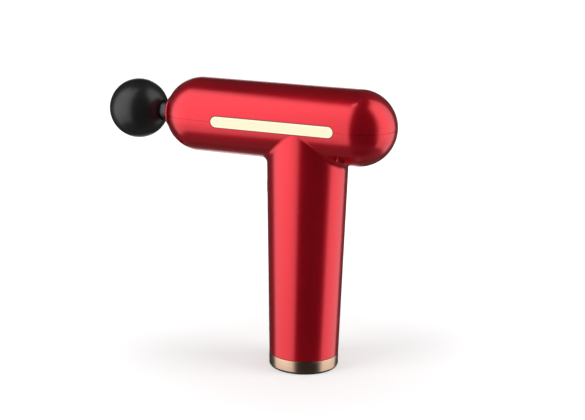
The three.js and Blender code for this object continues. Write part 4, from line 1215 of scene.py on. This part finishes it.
magnet_low, magnet_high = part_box("rotor_magnets")
magnet_thickness = 1.1 * MM
magnet_count = 14
magnet_gap = 0.35 * MM
magnet_inner = magnet_high.x - magnet_thickness
magnets = turned("rotor_magnet_ring", rounded([
    (magnet_inner, magnet_low.z, 0.1 * MM), (magnet_high.x, magnet_low.z, 0.1 * MM),
    (magnet_high.x, magnet_high.z, 0.1 * MM), (magnet_inner, magnet_high.z, 0.1 * MM),
], 2), steps=168)
for k in range(magnet_count):
    gap = block("magnet_gap", (magnet_inner - 1 * MM, -magnet_gap / 2, magnet_low.z - 1 * MM),
                (magnet_high.x + 1 * MM, magnet_gap / 2, magnet_high.z + 1 * MM))
    gap.data.transform(Matrix.Rotation(2 * math.pi * k / magnet_count, 4, "Z"))
    cut(magnets, gap)
shade(magnets)
plated_magnet = finish("plated_magnet", (0.30, 0.30, 0.31), (0.42, 0.42, 0.44), (0.18, 0.30),
                       grain=3000, patch=200, relief=0.06, Metallic=1.0)
add_piece(magnets, "rotor", "magnet", plated_magnet, "rotor_magnets")

stator_low, stator_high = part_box("motor_stator")
teeth = 12
stator_radius = max(stator_high.x, stator_high.y)
hub_wall = 2.6 * MM
hub_radius = tube_radius + hub_wall
tip_depth = 1.4 * MM
tooth_half = 1.1 * MM
lamination = 0.5 * MM
core_edge = 1.2 * MM


def stator_outline(shrink):
    """The ring of teeth: a neck on the hub and a wide tip under the magnets."""
    outline = []
    for k in range(teeth):
        middle = 2 * math.pi * k / teeth
        pitch = 2 * math.pi / teeth
        stops = [(hub_radius, -0.5 * pitch), (hub_radius, -tooth_half / hub_radius),
                 (stator_radius - tip_depth, -tooth_half / (stator_radius - tip_depth)),
                 (stator_radius - 0.5 * tip_depth, -0.40 * pitch)]
        stops += [(stator_radius - shrink, a * pitch) for a in np.linspace(-0.42, 0.42, 7)]
        stops += [(stator_radius - 0.5 * tip_depth, 0.40 * pitch),
                  (stator_radius - tip_depth, tooth_half / (stator_radius - tip_depth)),
                  (hub_radius, tooth_half / hub_radius)]
        outline += [(r * math.cos(middle + a), r * math.sin(middle + a)) for r, a in stops]
    return outline


def stator_core():
    """Thin steel sheets, stacked: the section steps in and out a little from sheet to sheet."""
    low, high = stator_low.z + core_edge, stator_high.z - core_edge
    sheets = int((high - low) / lamination)
    outlines = [stator_outline(0), stator_outline(0.06 * MM)]
    count = len(outlines[0])
    step = (high - low) / sheets
    levels = []
    for k in range(sheets):
        z = low + (high - low) * k / sheets
        levels += [(z + 0.15 * step, 0), (z + 0.8 * step, 0), (z + 0.9 * step, 1)]
    points = [(x, y, z) for z, which in levels for x, y in outlines[which]]
    core = solid_mesh("stator_core", points, ring_faces(count, len(levels)), 20)
    return bore(core, tube_radius + fit, low - 1 * MM, high + 1 * MM, steps=96)


core_steel = finish("lamination_steel", (0.10, 0.10, 0.11), (0.20, 0.20, 0.21), (0.35, 0.5),
                    grain=2500, patch=200, relief=0.1, Metallic=0.9)
add_piece(stator_core(), "casing", "motor_alloy", core_steel)

wire_radius = 0.22 * MM
coil_turns = 6
coil_squareness = 0.35


def squared(value):
    """A cosine or sine drawn out towards 1 and -1, so that a circle becomes a rounded square."""
    return math.copysign(abs(value) ** coil_squareness, value)


def coil_path(steps=24):
    """One tooth's winding, laid turn by turn outwards along the tooth."""
    half_y = tooth_half + 1.1 * wire_radius
    half_z = (stator_high.z - stator_low.z) / 2 - core_edge + 1.2 * wire_radius
    inner = hub_radius + 0.5 * MM
    outer = stator_radius - tip_depth - 2 * wire_radius
    points = []
    for k in range(coil_turns * steps + 1):
        along = inner + (outer - inner) * k / (coil_turns * steps)
        angle = 2 * math.pi * k / steps
        points.append(Vector((along, half_y * squared(math.cos(angle)), half_z * squared(math.sin(angle)))))
    return points


def wire_tube(points, radius, across, sides=6):
    """A closed tube along a path that never runs along `across`, as (points, faces)."""
    made = []
    count = len(points)
    for i, p in enumerate(points):
        ahead = points[min(i + 1, count - 1)] - points[max(i - 1, 0)]
        side = ahead.cross(across).normalized()
        other = ahead.cross(side).normalized()
        for k in range(sides):
            angle = 2 * math.pi * k / sides
            made.append(p + radius * (math.cos(angle) * side + math.sin(angle) * other))
    return made, ring_faces(sides, count)


def winding():
    """All the coils, a separate one on each tooth."""
    points, faces = [], []
    coil_points, coil_faces = wire_tube(coil_path(), wire_radius, Vector((1, 0, 0)))
    lift_up = Vector((0, 0, middle("motor_stator").z))
    for k in range(teeth):
        turn_to = Matrix.Rotation(2 * math.pi * k / teeth, 4, "Z")
        first = len(points)
        points += [turn_to @ p + lift_up for p in coil_points]
        faces += [tuple(first + i for i in face) for face in coil_faces]
    return solid_mesh("stator_winding", points, faces, 60)


copper = finish("enamelled_copper", (0.42, 0.12, 0.035), (0.60, 0.20, 0.06), (0.22, 0.34),
                grain=2200, patch=200, relief=0.05, Metallic=0.9, Coat_Weight=0.5)
add_piece(winding(), "casing", "copper_winding", copper, "motor_stator")

# ---------------------------------------------------------------------------------------------
# Drive frame: glass filled nylon in one moulding, with a guide tube in front, a deck for the
# motor and a bulkhead behind. Rubber rings float it in the barrel, and a bush guides the piston.
# ---------------------------------------------------------------------------------------------
frame_low, frame_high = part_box("drive_frame")
bush_low, bush_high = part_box("guide_bush")
bush_radius = bush_high.z - barrel_z
guide_bore = bush_radius + fit
guide_wall = 3 * MM
guide_radius = guide_bore + guide_wall
guide_back = bush_high.x
bulkhead_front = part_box("frame_damper_rear")[0].x
deck_bottom = mount_high.z + fit
deck_thickness = 3 * MM
deck_top = deck_bottom + deck_thickness
deck_half = 13 * MM
deck_tail_length = 13 * MM
deck_tail_x = bulkhead_front - deck_tail_length
deck_tail_half = 6 * MM
deck_overlap = 3 * MM
bulkhead_margin = 0.34 * MM
trough_clearance = 0.9 * MM
screw_pocket_radius = 2.6 * MM
screw_pocket_z = deck_top - screw_head_height - 0.6 * MM


def on_barrel(name, radius, low, high, edge=0.5 * MM, steps=96):
    """A round block on the barrel's axis with eased edges."""
    outline = rounded([(0, low, 0), (radius, low, edge), (radius, high, edge), (0, high, 0)], 4)
    return turned(name, outline, "X", at_axis, steps)


nylon = on_barrel("frame_moulding", guide_radius, frame_low.x, guide_back)
bulkhead_radius = math.hypot(deck_tail_half, barrel_z - deck_bottom) + bulkhead_margin
cut(nylon, on_barrel("bulkhead", bulkhead_radius, bulkhead_front, frame_high.x), "UNION")
deck = rounded_box("deck", (guide_back - deck_overlap, deck_tail_x), deck_half,
                   (deck_bottom, deck_top), 2 * MM)
tail = block("deck_tail", (deck_tail_x - 4 * MM, -deck_tail_half, deck_bottom),
             (bulkhead_front + 1 * MM, deck_tail_half, deck_top))
cut(deck, tail, "UNION")
bore(deck, piston_radius + trough_clearance, guide_back, bulkhead_front, "X", at_axis, 96)
cut(nylon, deck, "UNION")
bore(nylon, guide_bore, frame_low.x - 1 * MM, guide_back + 1 * MM, "X", at_axis, 96)
bore(nylon, shaft_radius + fit, deck_bottom - 1 * MM, deck_top + 1 * MM, steps=48)
for spot in motor_screw_spots:
    bore(nylon, motor_screw_hole, deck_bottom - 1 * MM, deck_top + 1 * MM, "Z", spot, 32)
    bore(nylon, screw_pocket_radius, screw_pocket_z, deck_top + 1 * MM, "Z", spot, 48)
shade(nylon)
frame_nylon = finish("glass_filled_nylon", (0.055, 0.056, 0.06), (0.09, 0.092, 0.098), (0.5, 0.65),
                     grain=1400, patch=100, relief=0.35, stretch=(0.4, 1, 1))
add_piece(nylon, "casing", "frame_nylon", frame_nylon, "drive_frame")

bush_bore = piston_radius + fork_clearance
bush = turned("guide_plain_bush", rounded([
    (bush_bore, bush_low.x, 0.4 * MM), (bush_radius, bush_low.x, 0.3 * MM),
    (bush_radius, bush_high.x, 0.3 * MM), (bush_bore, bush_high.x, 0.4 * MM)]), "X", at_axis, 128)
bush_plastic = finish("bush_plastic", (0.42, 0.30, 0.12), (0.55, 0.40, 0.18), (0.32, 0.42),
                      grain=2000, patch=120, relief=0.1)
add_piece(bush, "casing", "bush_plastic", bush_plastic, "guide_bush")


def damper(name, inside, node):
    """A rubber ring between the frame and the barrel, with a groove round its rim."""
    low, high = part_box(node)
    outer = high.z - barrel_z
    bottom = outer - 0.8 * MM
    sixth = (high.x - low.x) / 6
    near, far_side = middle(node).x - sixth, middle(node).x + sixth
    outline = rounded([
        (inside, low.x, 0.3 * MM), (outer, low.x, 0.5 * MM), (outer, near, 0.3 * MM),
        (bottom, near, 0.3 * MM), (bottom, far_side, 0.3 * MM), (outer, far_side, 0.3 * MM),
        (outer, high.x, 0.5 * MM), (inside, high.x, 0.3 * MM)])
    add_piece(turned(name, outline, "X", at_axis, 128), "casing", "foot_rubber", seal_rubber, node)


damper("damper_ring_front", guide_radius + fit, "frame_damper_front")
damper("damper_ring_rear", bulkhead_radius + fit, "frame_damper_rear")

# ---------------------------------------------------------------------------------------------
# Battery: two steel cells in a printed sleeve, side by side in two moulded trays, joined in
# series by a spot welded nickel strip.
# ---------------------------------------------------------------------------------------------
cell_wrap = finish("cell_sleeve", (0.016, 0.085, 0.26), (0.025, 0.12, 0.34), (0.28, 0.36),
                   grain=1200, patch=50, relief=0.05)
for number in (1, 2):
    low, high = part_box(f"battery_cell_{number}")
    spot = ((low.x + high.x) / 2, 0, 0)
    radius = (high.x - low.x) / 2
    cell = turned(f"battery_sleeved_cell_{number}", rounded([
        (0, low.z + 0.3 * MM, 0),
        (radius - 2.2 * MM, low.z + 0.3 * MM, 0),
        (radius - 2.2 * MM, low.z, 0.15 * MM),
        (radius, low.z, 0.9 * MM),
        (radius, high.z - 3.6 * MM, 0.5 * MM),
        (radius - 0.55 * MM, high.z - 3.1 * MM, 0.4 * MM),
        (radius, high.z - 2.6 * MM, 0.5 * MM),
        (radius, high.z - 0.7 * MM, 0.8 * MM),
        (radius - 2.4 * MM, high.z - 0.7 * MM, 0.2 * MM),
        (radius - 2.4 * MM, high.z - 1.1 * MM, 0),
        (3.6 * MM, high.z - 1.1 * MM, 0),
        (3.0 * MM, high.z, 0.3 * MM),
        (0, high.z, 0),
    ], 4), "Z", spot, 128)
    add_piece(cell, "casing", "cell_wrap", cell_wrap, f"battery_cell_{number}")

cell_low, cell_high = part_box("battery_cell_1")
cell_radius = (cell_high.x - cell_low.x) / 2
cell_x = abs(cell_low.x + cell_high.x) / 2
link_low, link_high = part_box("cell_link")
strip = eased(rounded_box("cell_nickel_link", (link_low.x, link_high.x), link_high.y,
                          (link_low.z, link_high.z), 1.4 * MM), 0.06 * MM)
weld_radius = 0.4 * MM
weld_depth = 0.08 * MM
weld_offsets = [(x * MM, y * MM) for x in (-1.2, 1.2) for y in (-1, 1)]
for x in (-cell_x, cell_x):
    for dx, dy in weld_offsets:
        bore(strip, weld_radius, link_high.z - weld_depth, link_high.z + 1 * MM, "Z", (x + dx, dy, 0), 16)
add_piece(strip, "casing", "steel", bright_steel, "cell_link")

tray_floor = 2 * MM
for place in ("lower", "upper"):
    low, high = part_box(f"cell_tray_{place}")
    tray = eased(grip_column(f"cell_holder_{place}", wall + fit, low.z, high.z), 0.4 * MM)
    pocket = (cell_low.z - fit, high.z + 1 * MM)
    if place == "upper":
        pocket = (low.z - 1 * MM, high.z - tray_floor)
        cut(tray, block("link_slot", (-cell_x - fit, link_low.y - fit, pocket[0]),
                        (cell_x + fit, link_high.y + fit, pocket[1])))
    for x in (-cell_x, cell_x):
        bore(tray, cell_radius + fit, pocket[0], pocket[1], "Z", (x, 0, 0), 96)
    add_piece(shade(tray), "casing", "black_plastic", black_plastic, f"cell_tray_{place}")

# ---------------------------------------------------------------------------------------------
# Boards: glass fibre circuit boards in green or white resist, with their chips, coil and small
# parts soldered on. One runs the motor, one charges the cells, and the rest carry LEDs and the switch.
# ---------------------------------------------------------------------------------------------
green_board = finish("green_resist", (0.006, 0.075, 0.028), (0.012, 0.12, 0.045), (0.30, 0.42),
                     grain=900, patch=160, relief=0.15)
white_board = finish("white_resist", (0.62, 0.62, 0.60), (0.72, 0.72, 0.70), (0.35, 0.45),
                     grain=900, patch=160, relief=0.1)
chip_black = finish("moulded_chip", (0.010, 0.010, 0.011), (0.018, 0.018, 0.019), (0.45, 0.6),
                    grain=3000, patch=200, relief=0.2)


def joined(name, pieces):
    """Several separate closed solids kept as one piece."""
    shape = bmesh.new()
    for piece in pieces:
        shape.from_mesh(piece.data)
        bpy.data.objects.remove(piece)
    mesh = bpy.data.meshes.new(name)
    shape.to_mesh(mesh)
    shape.free()
    return shade(link(bpy.data.objects.new(name, mesh)))


board_thickness = 1.6 * MM
control_low, control_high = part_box("control_board")
board_face = control_high.y - board_thickness
hole_inset = 3 * MM
hole_radius = 1.1 * MM
board_edge = 0.15 * MM
plate = eased(block("control_circuit_board", (control_low.x, board_face, control_low.z),
                    control_high), board_edge)
for x in (hole_inset - control_high.x, control_high.x - hole_inset):
    for z in (control_low.z + hole_inset, control_high.z - hole_inset):
        hole = rod("board_hole", hole_radius, board_face - 1 * MM, control_high.y + 1 * MM, "Z",
                   (x, -z, 0), 24)
        hole.data.transform(Matrix.Rotation(-math.pi / 2, 4, "X"))
        cut(plate, hole)
add_piece(shade(plate), "casing", "circuit_board", green_board, "control_board")

# Two chips with leads on both sides, and two rows of soldered pads for the wires.
chip_height = 1.7 * MM
chip_spans = ((4 * MM, 8 * MM, 16 * MM), (6 * MM, 22 * MM, 28 * MM))
lead_pitch = 1 * MM
lead_reach = (0.05 * MM, 0.8 * MM)
pad_x = 8.2 * MM
solder_gap = 0.02 * MM
chips = []
leads = []


def on_board(name, x_range, z_range, height, gap=solder_gap):
    """A small block on the control board's face."""
    return block(name, (min(x_range), board_face - height, z_range[0]),
                 (max(x_range), board_face - gap, z_range[1]))


for half_width, low_z, high_z in chip_spans:
    bottom, top = control_low.z + low_z, control_low.z + high_z
    chips.append(eased(on_board("chip", (-half_width, half_width), (bottom, top), chip_height, 0.1 * MM),
                       board_edge))
    count = int((high_z - low_z) / lead_pitch)
    for k in range(count):
        z = bottom + (k + 0.5) * (high_z - low_z) / count
        for side in (-1, 1):
            reach = [side * (half_width + r) for r in lead_reach]
            leads.append(on_board("lead", reach, (z - 0.2 * MM, z + 0.2 * MM), 0.35 * MM))
for k in range(7):
    z = control_low.z + (6 + 7 * k) * MM
    for x in (-pad_x, pad_x):
        leads.append(on_board("pad", (x - 0.9 * MM, x + 0.9 * MM), (z - 0.45 * MM, z + 0.45 * MM), 0.5 * MM))
add_piece(joined("control_chips", chips), "casing", "black_plastic", chip_black)
add_piece(joined("control_leads", leads), "casing", "steel", bright_steel)

choke_radius = 2.7 * MM
choke_wire = 0.3 * MM
choke_turns = 9
choke_low = control_low.z + 33 * MM
choke_length = 6 * MM
choke = []
for k in range(choke_turns):
    z = choke_low + (k + 0.5) * choke_length / choke_turns
    arc = [Vector((choke_radius * math.cos(a), board_face + choke_radius * math.sin(a), z))
           for a in np.linspace(-math.pi + 0.12, -0.12, 25)]
    choke.append(solid_mesh("choke_turn", *wire_tube(arc, choke_wire, Vector((0, 0, 1)))))
add_piece(joined("control_choke", choke), "casing", "copper_winding", copper)

charge_plate = eased(rounded_box("charge_circuit_board", (board_low.x, board_high.x), board_high.y,
                                 (board_low.z, board_high.z), 1.5 * MM), board_edge)
add_piece(charge_plate, "casing", "circuit_board", green_board, "charge_board")

switch_plate = block("button_circuit_board", *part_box("button_board"))
add_piece(eased(switch_plate, board_edge), "casing", "circuit_board", green_board, "button_board")

switch_low, switch_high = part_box("button_switch")
switch_z = middle("button_switch").z
plunger = 0.5 * MM
plunger_radius = 1.7 * MM
rivet_offset = 2.1 * MM
rivet_radius = 0.4 * MM
switch_face = switch_low.x + plunger
switch_body = block("button_tact_switch", (switch_face, switch_low.y, switch_low.z), switch_high)
eased(switch_body, 0.2 * MM)
studs = [(0, switch_z, plunger_radius, switch_low.x, 48)]
for y in (-rivet_offset, rivet_offset):
    for z in (switch_z - rivet_offset, switch_z + rivet_offset):
        studs.append((y, z, rivet_radius, switch_face - 0.15 * MM, 16))
for y, z, radius, front, steps in studs:
    cut(switch_body, rod("stud", radius, front, switch_low.x + 1 * MM, "X", (0, y, z), steps), "UNION")
add_piece(shade(switch_body), "casing", "black_plastic", chip_black, "button_switch")

led_size = Vector((2.8 * MM, 0.55 * MM, 2.2 * MM))
led_count = 9
led_lens = finish("led_phosphor", (0.85, 0.62, 0.12), (0.95, 0.72, 0.18), (0.25, 0.35),
                  grain=900, patch=200, relief=0.05)
for label, side in (("left", -1), ("right", 1)):
    low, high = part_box(f"led_board_{label}")
    thick = high.y - low.y - led_size.y
    inner_y = high.y - thick if side < 0 else low.y
    card_low = Vector((low.x, inner_y, low.z))
    card_high = Vector((high.x, inner_y + thick, high.z))
    strip_board = eased(block(f"led_strip_board_{label}", card_low, card_high), 0.1 * MM)
    add_piece(strip_board, "casing", "led_board_white", white_board, f"led_board_{label}")
    face_y = low.y if side < 0 else high.y
    lights = []
    for k in range(led_count):
        x = low.x + (k + 0.5) * (high.x - low.x) / led_count
        root = card_low.y if side < 0 else card_high.y
        y0, y1 = sorted((face_y, root + side * 0.02 * MM))
        lights.append(eased(block("led", (x - led_size.x / 2, y0, barrel_z - led_size.z / 2),
                                  (x + led_size.x / 2, y1, barrel_z + led_size.z / 2)), 0.12 * MM))
    add_piece(joined(f"led_lamps_{label}", lights), "casing", "light_guide", led_lens)

# ---------------------------------------------------------------------------------------------
# Floor and light: a white sweep under an even white sky, with a painted shade round the object's
# foot. Only polished surfaces see the studio's two tall soft lamps, left and right of the camera,
# and the black cards hung between them.
# ---------------------------------------------------------------------------------------------
studio_centre = Vector((-0.02, 0, 0.1))
sky_level = 0.6
floor_size = 30


def empty_material(name):
    """A material with no nodes yet, and its tree."""
    material = bpy.data.materials.new(name)
    material.use_nodes = True
    material.node_tree.nodes.clear()
    return material, material.node_tree


def seen_directly(tree):
    """1 for what the lens, a mirror or glass sees, and 0 for the light that falls on things."""
    path = add(tree, "ShaderNodeLightPath").outputs
    first = add(tree, "ShaderNodeMath", {0: path["Is Camera Ray"], 1: path["Is Glossy Ray"]},
                operation="MAXIMUM")
    both = add(tree, "ShaderNodeMath", {0: first.outputs[0], 1: path["Is Transmission Ray"]},
               operation="MAXIMUM")
    return both.outputs[0]


world = bpy.data.worlds.new("sky")
world.use_nodes = True
bpy.context.scene.world = world
tree = world.node_tree
tree.nodes.clear()
sky_strength = add(tree, "ShaderNodeMapRange",
                   {"Value": seen_directly(tree), "To Min": sky_level, "To Max": 1.0})
sky = add(tree, "ShaderNodeBackground",
          {"Color": (1, 1, 1, 1), "Strength": sky_strength.outputs["Result"]})
add(tree, "ShaderNodeOutputWorld", {"Surface": sky.outputs["Background"]})

floor_half = floor_size / 2
floor_corners = [(x, y, -0.02 * MM) for x, y in
                 ((-floor_half, -floor_half), (floor_half, -floor_half),
                  (floor_half, floor_half), (-floor_half, floor_half))]
floor_mesh = bpy.data.meshes.new("floor")
floor_mesh.from_pydata(floor_corners, [], [(0, 1, 2, 3)])
floor = link(bpy.data.objects.new("floor", floor_mesh))
floor_paint, tree = empty_material("floor_paint")
matt = add(tree, "ShaderNodeBsdfDiffuse", {"Color": (0.8, 0.8, 0.8, 1)})
place = add(tree, "ShaderNodeTexCoord")
from_centre = add(tree, "ShaderNodeVectorMath", {0: place.outputs["Object"]}, operation="LENGTH")
# Painted shade: the floor's glow is lower within about 0.2 m of the object, so a faint shade rings its foot
# and its shadow shows, while the far floor stays white.
lift_with_painted_shade = add(tree, "ShaderNodeMapRange",
                 {"Value": from_centre.outputs["Value"], "From Min": 0.05, "From Max": 0.22,
                  "To Min": 0.27, "To Max": 0.56}, interpolation_type="SMOOTHSTEP")
lift_strength = add(tree, "ShaderNodeMath", {0: seen_directly(tree), 1: lift_with_painted_shade.outputs["Result"]},
                    operation="MULTIPLY")
lift = add(tree, "ShaderNodeEmission", {"Strength": lift_strength.outputs[0]})
together = add(tree, "ShaderNodeAddShader", {0: matt.outputs["BSDF"], 1: lift.outputs["Emission"]})
add(tree, "ShaderNodeOutputMaterial", {"Surface": together.outputs["Shader"]})
floor_mesh.materials.append(floor_paint)
floor.visible_glossy = False
floor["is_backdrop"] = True


def soft_step(value, start, end):
    share = min(max((value - start) / (end - start), 0), 1)
    return share * share * (3 - 2 * share)


def studio_panel(name, distance, level, around, height, soft_sides, soft_ends):
    """A curved panel round the object, from -Y towards +X in degrees, that only mirrors see."""
    across = np.linspace(around[0], around[1], 49)
    upward = np.linspace(height[0], height[1], 33)
    points, fades = [], []
    for el in upward:
        for az in across:
            points.append(studio_centre + distance * toward(az, el))
            fade = soft_step(az, around[0] - 1e-3, around[0] + soft_sides[0])
            fade *= 1 - soft_step(az, around[1] - soft_sides[1], around[1] + 1e-3)
            fade *= soft_step(el, height[0] - 1e-3, height[0] + soft_ends[0])
            fade *= 1 - soft_step(el, height[1] - soft_ends[1], height[1] + 1e-3)
            fades.append(fade)
    wide = len(across)
    faces = [(r * wide + c, r * wide + c + 1, (r + 1) * wide + c + 1, (r + 1) * wide + c)
             for r in range(len(upward) - 1) for c in range(wide - 1)]
    mesh = bpy.data.meshes.new(name)
    mesh.from_pydata([tuple(p) for p in points], [], faces)
    mesh.attributes.new("fade", "FLOAT", "POINT").data.foreach_set("value", fades)
    material, tree = empty_material(name)
    clear = add(tree, "ShaderNodeBsdfTransparent")
    glow = add(tree, "ShaderNodeEmission", {"Strength": level})
    fade = add(tree, "ShaderNodeAttribute", attribute_name="fade")
    blend = add(tree, "ShaderNodeMixShader",
                {"Fac": fade.outputs["Fac"], 1: clear.outputs["BSDF"], 2: glow.outputs["Emission"]})
    add(tree, "ShaderNodeOutputMaterial", {"Surface": blend.outputs["Shader"]})
    mesh.materials.append(material)
    panel = link(bpy.data.objects.new(name, mesh))
    panel.visible_camera = False
    panel.visible_diffuse = False
    panel.visible_transmission = False
    panel.visible_shadow = False
    panel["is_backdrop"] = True


card = 2.2
lamp = 2.0
lamp_size = 1.1
studio_panel("card_above", card, 0.03, (-180, 180), (62, 90), (0.01, 0.01), (8, 0.01))
studio_panel("card_below", card, 0.13, (-180, 180), (-90, -36), (0.01, 0.01), (0.01, 10))
studio_panel("card_front", card, 0.03, (-14, 84), (-80, 80), (10, 4), (4, 4))
studio_panel("card_left", card, 0.05, (-146, -84), (-80, 80), (8, 4), (4, 4))
studio_panel("card_right", card, 0.05, (145, 200), (-80, 80), (6, 6), (4, 4))
studio_panel("card_back", card, 0.03, (190, 230), (12, 80), (6, 6), (6, 4))
studio_panel("lamp_left", lamp, 1.65, (-102, -2), (-36, 68), (44, 34), (32, 8))
studio_panel("lamp_right", lamp, 1.45, (66, 152), (-36, 66), (28, 46), (30, 8))
studio_panel("lamp_high", lamp, 2.4, (-52, -12), (67, 86), (8, 10), (4, 4))


def soft_lamp(name, around, height, power):
    """A square lamp that lights matt surfaces and casts the soft shadows."""
    way = toward(around, height)
    data = bpy.data.lights.new(name, "AREA")
    data.energy = power
    data.size = lamp_size
    source = link(bpy.data.objects.new(name, data))
    source.location = studio_centre + way * lamp
    source.rotation_euler = way.to_track_quat("Z", "Y").to_euler()
    source.visible_glossy = False


soft_lamp("soft_left", -40, 35, 12)
soft_lamp("soft_right", 100, 40, 12)

bpy.context.scene.view_settings.view_transform = "Standard"

low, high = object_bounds()
